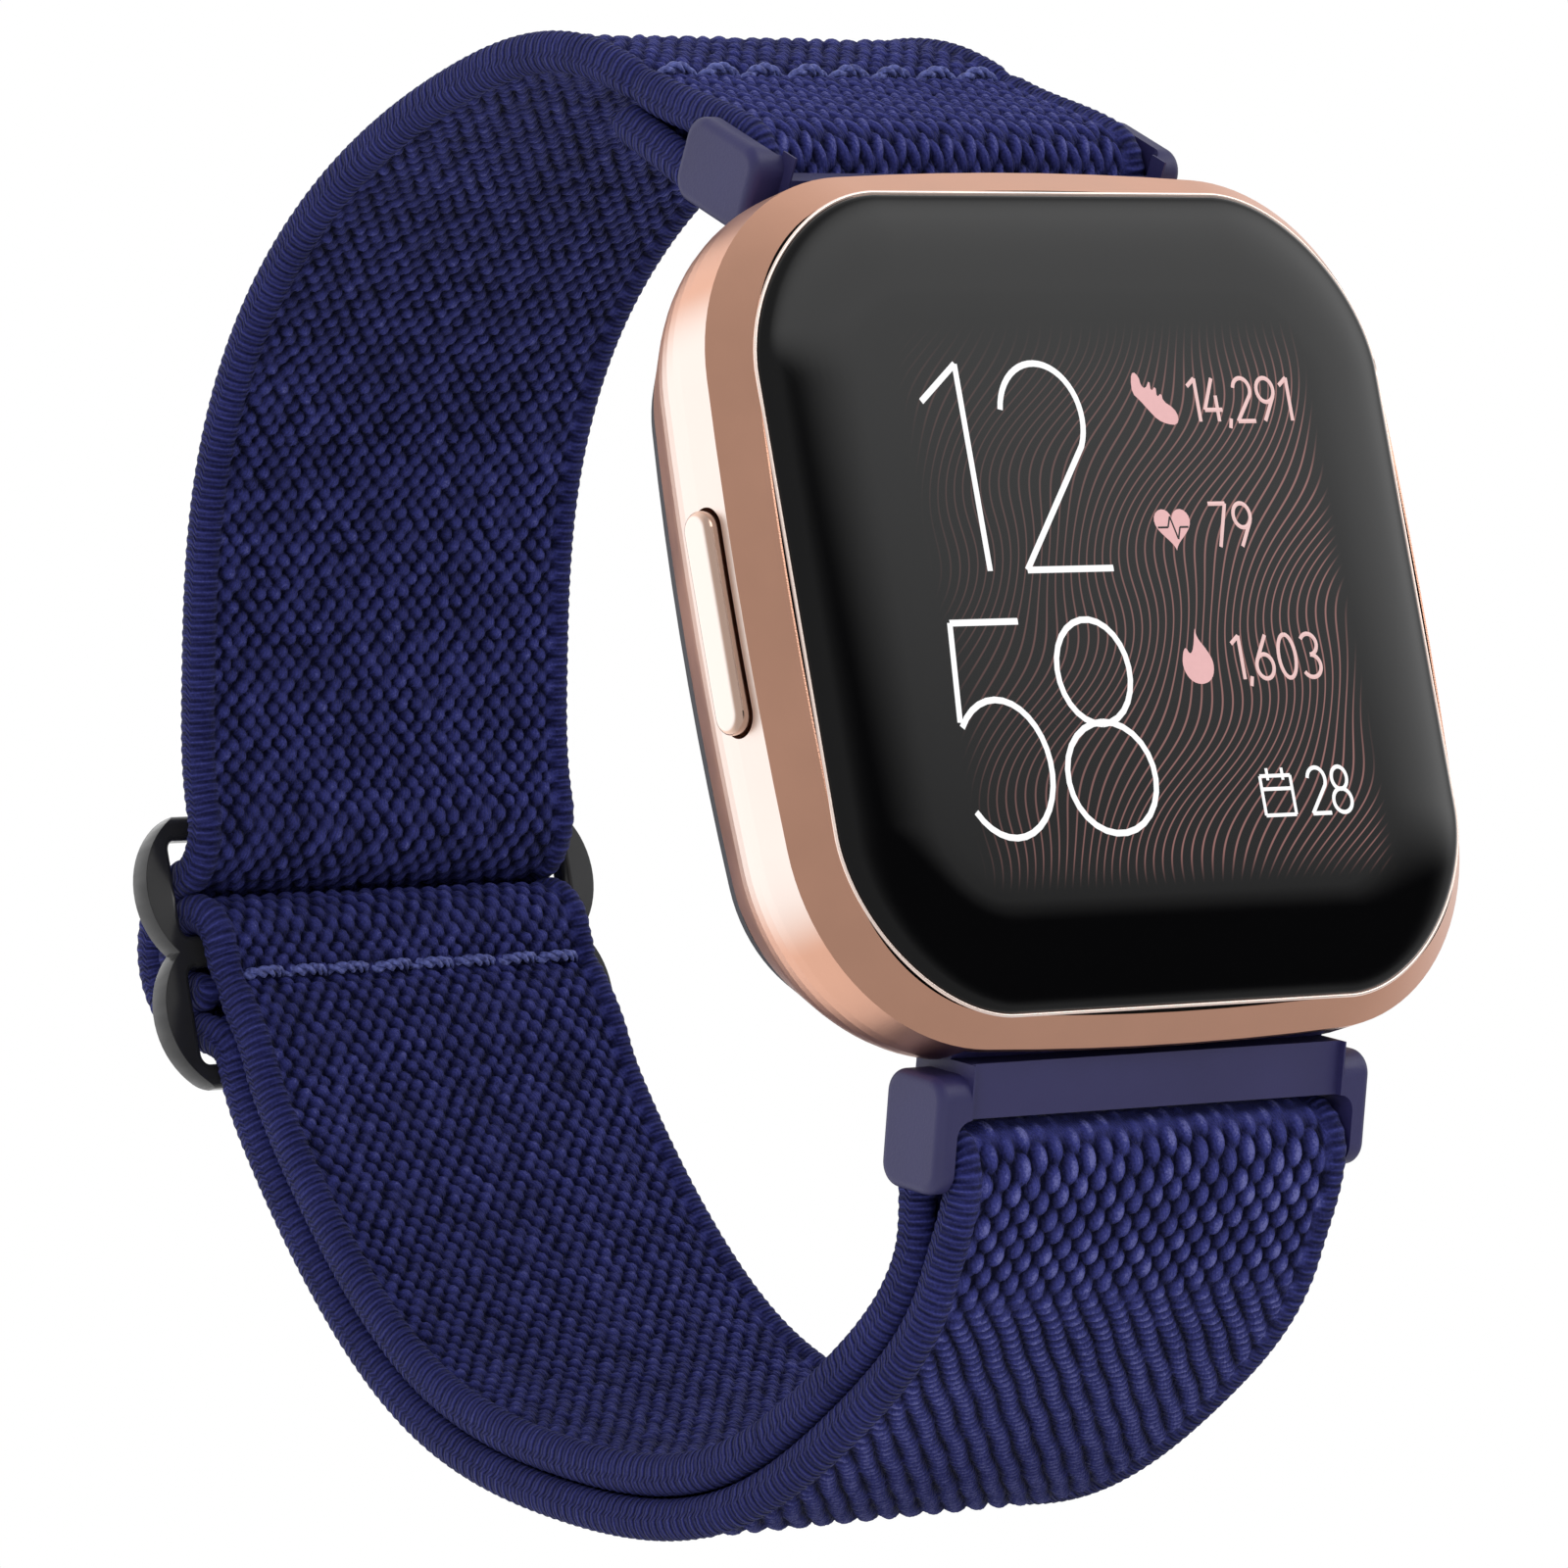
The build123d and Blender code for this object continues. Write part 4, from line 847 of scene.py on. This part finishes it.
def build_rim_line():
    """Thin polished line between the glass and the bevel, with a faint warm glow that is a painted
    highlight.
    """
    border = face_border(-0.1)
    following = np.roll(border, -1, axis=0) - np.roll(border, 1, axis=0)
    outward = np.stack([following[:, 1], -following[:, 0]], 1)
    outward /= np.linalg.norm(outward, axis=1)[:, None]
    if (outward[0] * border[0]).sum() < 0:
        outward = -outward
    rings = []
    for angle in np.linspace(0, 2 * pi, 13)[:-1]:
        off = border + outward * RIM_LINE_RADIUS * cos(angle)
        rings.append([(x, -RIM_HEIGHT - RIM_LINE_RADIUS * sin(angle), z) for x, z in off])
    points = np.array(rings).transpose(1, 0, 2)
    points = np.concatenate([points, points[:1]])
    piece = swept("rim_line", points, {})
    polished = Shader("polished_rim_painted_glow", Metallic=1.0, Base_Color=(0.95, 0.80, 0.72, 1))
    scuffs = polished.maths("MULTIPLY", polished.noise(900.0), 0.2)
    polished.feed("Roughness", polished.maths("ADD", 0.25, scuffs))
    # painted highlight: the metal line glows faintly in warm white
    polished.surface.inputs["Emission Color"].default_value = (1.0, 0.80, 0.72, 1)
    polished.surface.inputs["Emission Strength"].default_value = 0.25
    finished(piece, polished.material, ("case",))


build_glass()
build_rim_line()


# ---- the picture on the screen ----
def bow(x, z, rx, rz, start, turn):
    """Part of an ellipse as points."""
    angles = np.radians(np.linspace(start, start + turn, 28))
    return [(x + rx * cos(a), z + rz * sin(a)) for a in angles]


FIGURES = {
    "0": [bow(0.25, 0.5, 0.25, 0.5, 90, 360)],
    "1": [[(0.0, 0.82), (0.24, 1.0)], [(0.24, 1.0), (0.24, 0.0)]],
    "2": [bow(0.25, 0.73, 0.25, 0.27, 170, -200) + [(0.0, 0.0)], [(0.0, 0.0), (0.53, 0.0)]],
    "3": [bow(0.24, 0.76, 0.24, 0.24, 150, -240), bow(0.24, 0.26, 0.27, 0.26, 90, -240)],
    "4": [[(0.34, 1.0), (0.0, 0.27)], [(0.0, 0.27), (0.52, 0.27)], [(0.38, 0.6), (0.38, 0.0)]],
    "5": [[(0.46, 1.0), (0.06, 1.0)], [(0.06, 1.0), (0.02, 0.54)], bow(0.24, 0.32, 0.27, 0.32, 142, -285)],
    "6": [[(0.38, 1.0), (0.03, 0.42)], bow(0.25, 0.28, 0.25, 0.28, 150, 360)],
    "7": [[(0.0, 1.0), (0.5, 1.0)], [(0.5, 1.0), (0.17, 0.0)]],
    "8": [bow(0.25, 0.755, 0.215, 0.245, -90, 360), bow(0.25, 0.26, 0.26, 0.26, 90, 360)],
    "9": [[(0.12, 0.0), (0.47, 0.58)], bow(0.25, 0.72, 0.25, 0.28, -30, 360)],
    ",": [[(0.04, 0.06), (-0.02, -0.16)]],
}
NARROW = {",": 0.24, "1": 0.42}          # figures that take less room than the others


def strokes(name, lines, width, material, proud=0.02):
    """Flat lit strokes just proud of the glass, from lines of (x, z) points."""
    curve = bpy.data.curves.new(name, "CURVE")
    curve.dimensions = "3D"
    curve.bevel_depth = width / 2
    curve.bevel_resolution = 2
    curve.use_fill_caps = True
    for line in lines:
        spline = curve.splines.new("POLY")
        spline.points.add(len(line) - 1)
        for point, (x, z) in zip(spline.points, line):
            point.co = (x, 0, z, 1)
    holder = bpy.data.objects.new(name, curve)
    bpy.context.scene.collection.objects.link(holder)
    mesh = bpy.data.meshes.new_from_object(holder.evaluated_get(bpy.context.evaluated_depsgraph_get()))
    bpy.data.objects.remove(holder)
    on_glass(name, mesh, material, width / 2, proud)


def filled(name, border, material):
    """A flat lit shape just proud of the glass, from its border as (x, z) points."""
    count = len(border)
    points = [(x, y, z) for y in (-1.0, 1.0) for x, z in border]
    faces = [list(range(count)), list(range(count, 2 * count))[::-1]]
    faces += [(k, k + count, (k + 1) % count + count, (k + 1) % count) for k in range(count)]
    mesh = bpy.data.meshes.new(name)
    mesh.from_pydata(points, [], faces)
    on_glass(name, mesh, material, 1.0, 0.02)


def on_glass(name, mesh, material, half_thickness, proud):
    """Flattens a shape and sets it on the screen."""
    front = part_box("cover_glass")[0].y
    for vertex in mesh.vertices:
        x, y, z = vertex.co
        vertex.co = (x * MM, front + y / half_thickness * proud * MM, z * MM)
    piece = bpy.data.objects.new(name, mesh)
    bpy.context.scene.collection.objects.link(piece)
    facing_out(piece)
    piece.data.materials.clear()
    piece.data.materials.append(material)
    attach(piece, "case")


def number(text, x, z, height, advance):
    """The strokes of a number whose lower left corner is at (x, z)."""
    lines = []
    for figure in text:
        lines += [[(x + height * a, z + height * b) for a, b in line] for line in FIGURES[figure]]
        x += height * NARROW.get(figure, advance)
    return lines


def heart(x, z, size):
    turns = np.linspace(0, 2 * pi, 41)[:-1]
    return [(x + size * 0.5 * sin(t) ** 3,
             z + size * (13 * cos(t) - 5 * cos(2 * t) - 2 * cos(3 * t) - cos(4 * t)) / 32) for t in turns]


def rounded(points, rounds=2):
    """A closed border with its corners cut smooth."""
    for _ in range(rounds):
        cut_points = []
        for k, (x, z) in enumerate(points):
            nx, nz = points[(k + 1) % len(points)]
            cut_points.append((0.75 * x + 0.25 * nx, 0.75 * z + 0.25 * nz))
            cut_points.append((0.25 * x + 0.75 * nx, 0.25 * z + 0.75 * nz))
        points = cut_points
    return points


def sign(x, z, size, border, rounds=2):
    """A rounded border set at (x, z) and scaled."""
    return [(x + size * a, z + size * b) for a, b in rounded(border, rounds)]


SHOE = [(0.0, 0.58), (0.02, 0.86), (0.10, 1.0), (0.22, 0.90), (0.24, 0.72), (0.34, 0.66), (0.47, 0.84),
        (0.46, 0.60), (0.60, 0.72), (0.58, 0.49), (0.71, 0.58), (0.72, 0.42), (0.96, 0.28), (1.04, 0.10),
        (0.96, -0.04), (0.74, -0.02), (0.52, 0.06), (0.34, 0.24), (0.16, 0.44)]
FLAME = [(0.46, 1.0), (0.44, 0.80), (0.64, 0.56), (0.74, 0.34), (0.66, 0.08), (0.42, -0.02), (0.16, 0.06),
         (0.04, 0.30), (0.10, 0.54), (0.18, 0.64), (0.24, 0.50), (0.34, 0.58)]


def build_picture():
    white = lit("lit_white", (1, 1, 1), 1.0)
    pink = lit("lit_pink", (0.90, 0.50, 0.50), 0.85)
    pale = lit("lit_pale", (0.95, 0.62, 0.60), 0.85)
    hours = number("1", -9.9, 1.1, 9.4, 0.6) + number("2", -5.5, 1.1, 9.4, 0.6)
    minutes = number("5", -11.05, -10.9, 9.7, 0.6) + number("8", -5.15, -10.9, 9.7, 0.6)
    strokes("hours", hours, 0.30, white)
    strokes("minutes", minutes, 0.30, white)
    strokes("steps", number("14,291", 5.7, 7.75, 2.0, 0.70), 0.2, pale)
    strokes("pulse", number("79", 5.7, 1.95, 2.0, 0.70), 0.2, pale)
    strokes("energy", number("1,603", 5.6, -4.15, 2.0, 0.70), 0.2, pale)
    strokes("day", number("28", 8.7, -10.4, 2.1, 0.66), 0.19, white)
    page = [(5.9, -10.4), (7.7, -10.4), (7.7, -8.6), (5.9, -8.6)]
    border = [[page[k], page[(k + 1) % 4]] for k in range(4)]
    strokes("calendar", border + [[(5.9, -9.2), (7.7, -9.2)], [(6.35, -8.8), (6.35, -8.25)],
                                  [(7.25, -8.8), (7.25, -8.25)]], 0.17, white)
    filled("heart_sign", heart(3.4, 2.95, 2.1), pink)
    dark = moulded("sign_gap", (0.004, 0.004, 0.004), 0.3)
    beat = [(2.5, 2.9), (3.1, 2.9), (3.3, 3.4), (3.6, 2.35), (3.8, 2.9), (4.3, 2.9)]
    strokes("heart_beat", [beat[k:k + 2] for k in range(len(beat) - 1)], 0.13, dark, 0.03)
    filled("energy_sign", sign(2.4, -4.3, 2.7, FLAME), pink)
    filled("steps_sign", sign(2.4, 7.7, 2.4, SHOE, 1), pink)


build_picture()


# ---- stage ----
def area_light(name, place, target, size, power):
    light = bpy.data.lights.new(name, "AREA")
    light.shape = "RECTANGLE"
    light.size, light.size_y = size
    light.energy = power
    holder = bpy.data.objects.new(name, light)
    holder.location = place
    holder.visible_glossy = False
    holder.rotation_euler = (Vector(target) - Vector(place)).to_track_quat("-Z", "Y").to_euler()
    bpy.context.scene.collection.objects.link(holder)


def white_world():
    """Pure white to the camera; to everything else a bright room behind and a dim one in front."""
    world = bpy.data.worlds.new("studio")
    bpy.context.scene.world = world
    world.use_nodes = True
    tree = world.node_tree
    back = tree.nodes["Background"]
    where = tree.nodes.new("ShaderNodeTexCoord").outputs["Generated"]

    def toward(direction, low, high, dim, bright):
        dot = tree.nodes.new("ShaderNodeVectorMath")
        dot.operation = "DOT_PRODUCT"
        tree.links.new(where, dot.inputs[0])
        dot.inputs[1].default_value = direction
        spread = tree.nodes.new("ShaderNodeMapRange")
        spread.interpolation_type = "SMOOTHSTEP"
        tree.links.new(dot.outputs["Value"], spread.inputs["Value"])
        for key, value in (("From Min", low), ("From Max", high), ("To Min", dim), ("To Max", bright)):
            spread.inputs[key].default_value = value
        return spread.outputs["Result"]

    def combine(operation, a, b):
        new = tree.nodes.new("ShaderNodeMath")
        new.operation = operation
        tree.links.new(a, new.inputs[0])
        tree.links.new(b, new.inputs[1])
        return new.outputs[0]

    # The room, a soft glow behind on the left, a dark flag in front of the screen and to its right,
    # and a grey patch above that flag.
    room = toward((0.0, 0.97, 0.24), -0.3, 1.0, FRONT_LEVEL, BACK_LEVEL)
    softbox = toward((-0.62, 0.76, 0.16), 0.75, 0.97, 0.0, 0.15)
    flag = toward((0.62, -0.77, -0.05), 0.80, 0.95, 1.0, 0.0)
    grey = toward((0.30, 0.0, 0.954), 0.27, 0.41, 0.0, 2.1)
    screen_side = toward((0.65, -0.76, 0.10), 0.62, 0.97, 0.0, 1.0)
    shaded = combine("MULTIPLY", combine("ADD", room, softbox), flag)
    total = combine("ADD", shaded, combine("MULTIPLY", grey, screen_side))
    path = tree.nodes.new("ShaderNodeLightPath")
    mix = tree.nodes.new("ShaderNodeMix")
    tree.links.new(path.outputs["Is Camera Ray"], mix.inputs["Factor"])
    tree.links.new(total, mix.inputs["A"])
    mix.inputs["B"].default_value = 1.0
    tree.links.new(mix.outputs["Result"], back.inputs["Strength"])
    back.inputs["Color"].default_value = (1, 1, 1, 1)


def floor():
    """Pale floor under the band, seen only from above."""
    mesh = bpy.data.meshes.new("floor")
    half, level = 3.0, cad_low.z - 0.4 * MM
    corners = [(-half, -half, level), (half, -half, level), (half, half, level), (-half, half, level)]
    mesh.from_pydata(corners, [], [(0, 1, 2, 3)])
    ground = bpy.data.objects.new("floor", mesh)
    bpy.context.scene.collection.objects.link(ground)
    s = Shader("pale_floor", Roughness=0.8, Base_Color=(0.86, 0.86, 0.86, 1))
    s.surface.inputs["Emission Color"].default_value = (1, 1, 1, 1)
    s.surface.inputs["Emission Strength"].default_value = 0.5
    out = next(n for n in s.tree.nodes if n.type == "OUTPUT_MATERIAL")
    clear = s.add("ShaderNodeBsdfTransparent")
    mix = s.add("ShaderNodeMixShader")
    s.tree.links.new(s.add("ShaderNodeNewGeometry").outputs["Backfacing"], mix.inputs[0])
    s.tree.links.new(s.surface.outputs[0], mix.inputs[1])
    s.tree.links.new(clear.outputs[0], mix.inputs[2])
    s.tree.links.new(mix.outputs[0], out.inputs["Surface"])
    mesh.materials.append(s.material)
    ground.visible_glossy = False


def camera():
    """Three-quarter view from the button side, a little below the case, through a long lens."""
    data = bpy.data.cameras.new("camera")
    data.sensor_width = 36.0
    data.lens = 225.0
    view = bpy.data.objects.new("camera", data)
    right = Vector((0.77883, -0.60482, -0.16619))
    up = Vector((0.03203, -0.22626, 0.97354))
    back = right.cross(up)
    turn = Matrix((right, up, back)).transposed().to_4x4()
    view.matrix_world = Matrix.Translation(Vector((-284.54, -333.05, -73.99)) * MM) @ turn
    data.clip_start, data.clip_end = 0.01, 20
    bpy.context.scene.collection.objects.link(view)
    bpy.context.scene.camera = view


white_world()
floor()
camera()
area_light("key_left", (-0.9, -0.7, 0.4), (0, 0.01, 0), (0.4, 0.4), 5)
area_light("front", (0.4, -1.0, 0.7), (0, 0.02, 0), (0.6, 0.5), 1.5)
area_light("top", (0.1, 0.1, 1.0), (0, 0.01, 0), (0.6, 0.6), 3)
bpy.context.scene.view_settings.view_transform = "Standard"
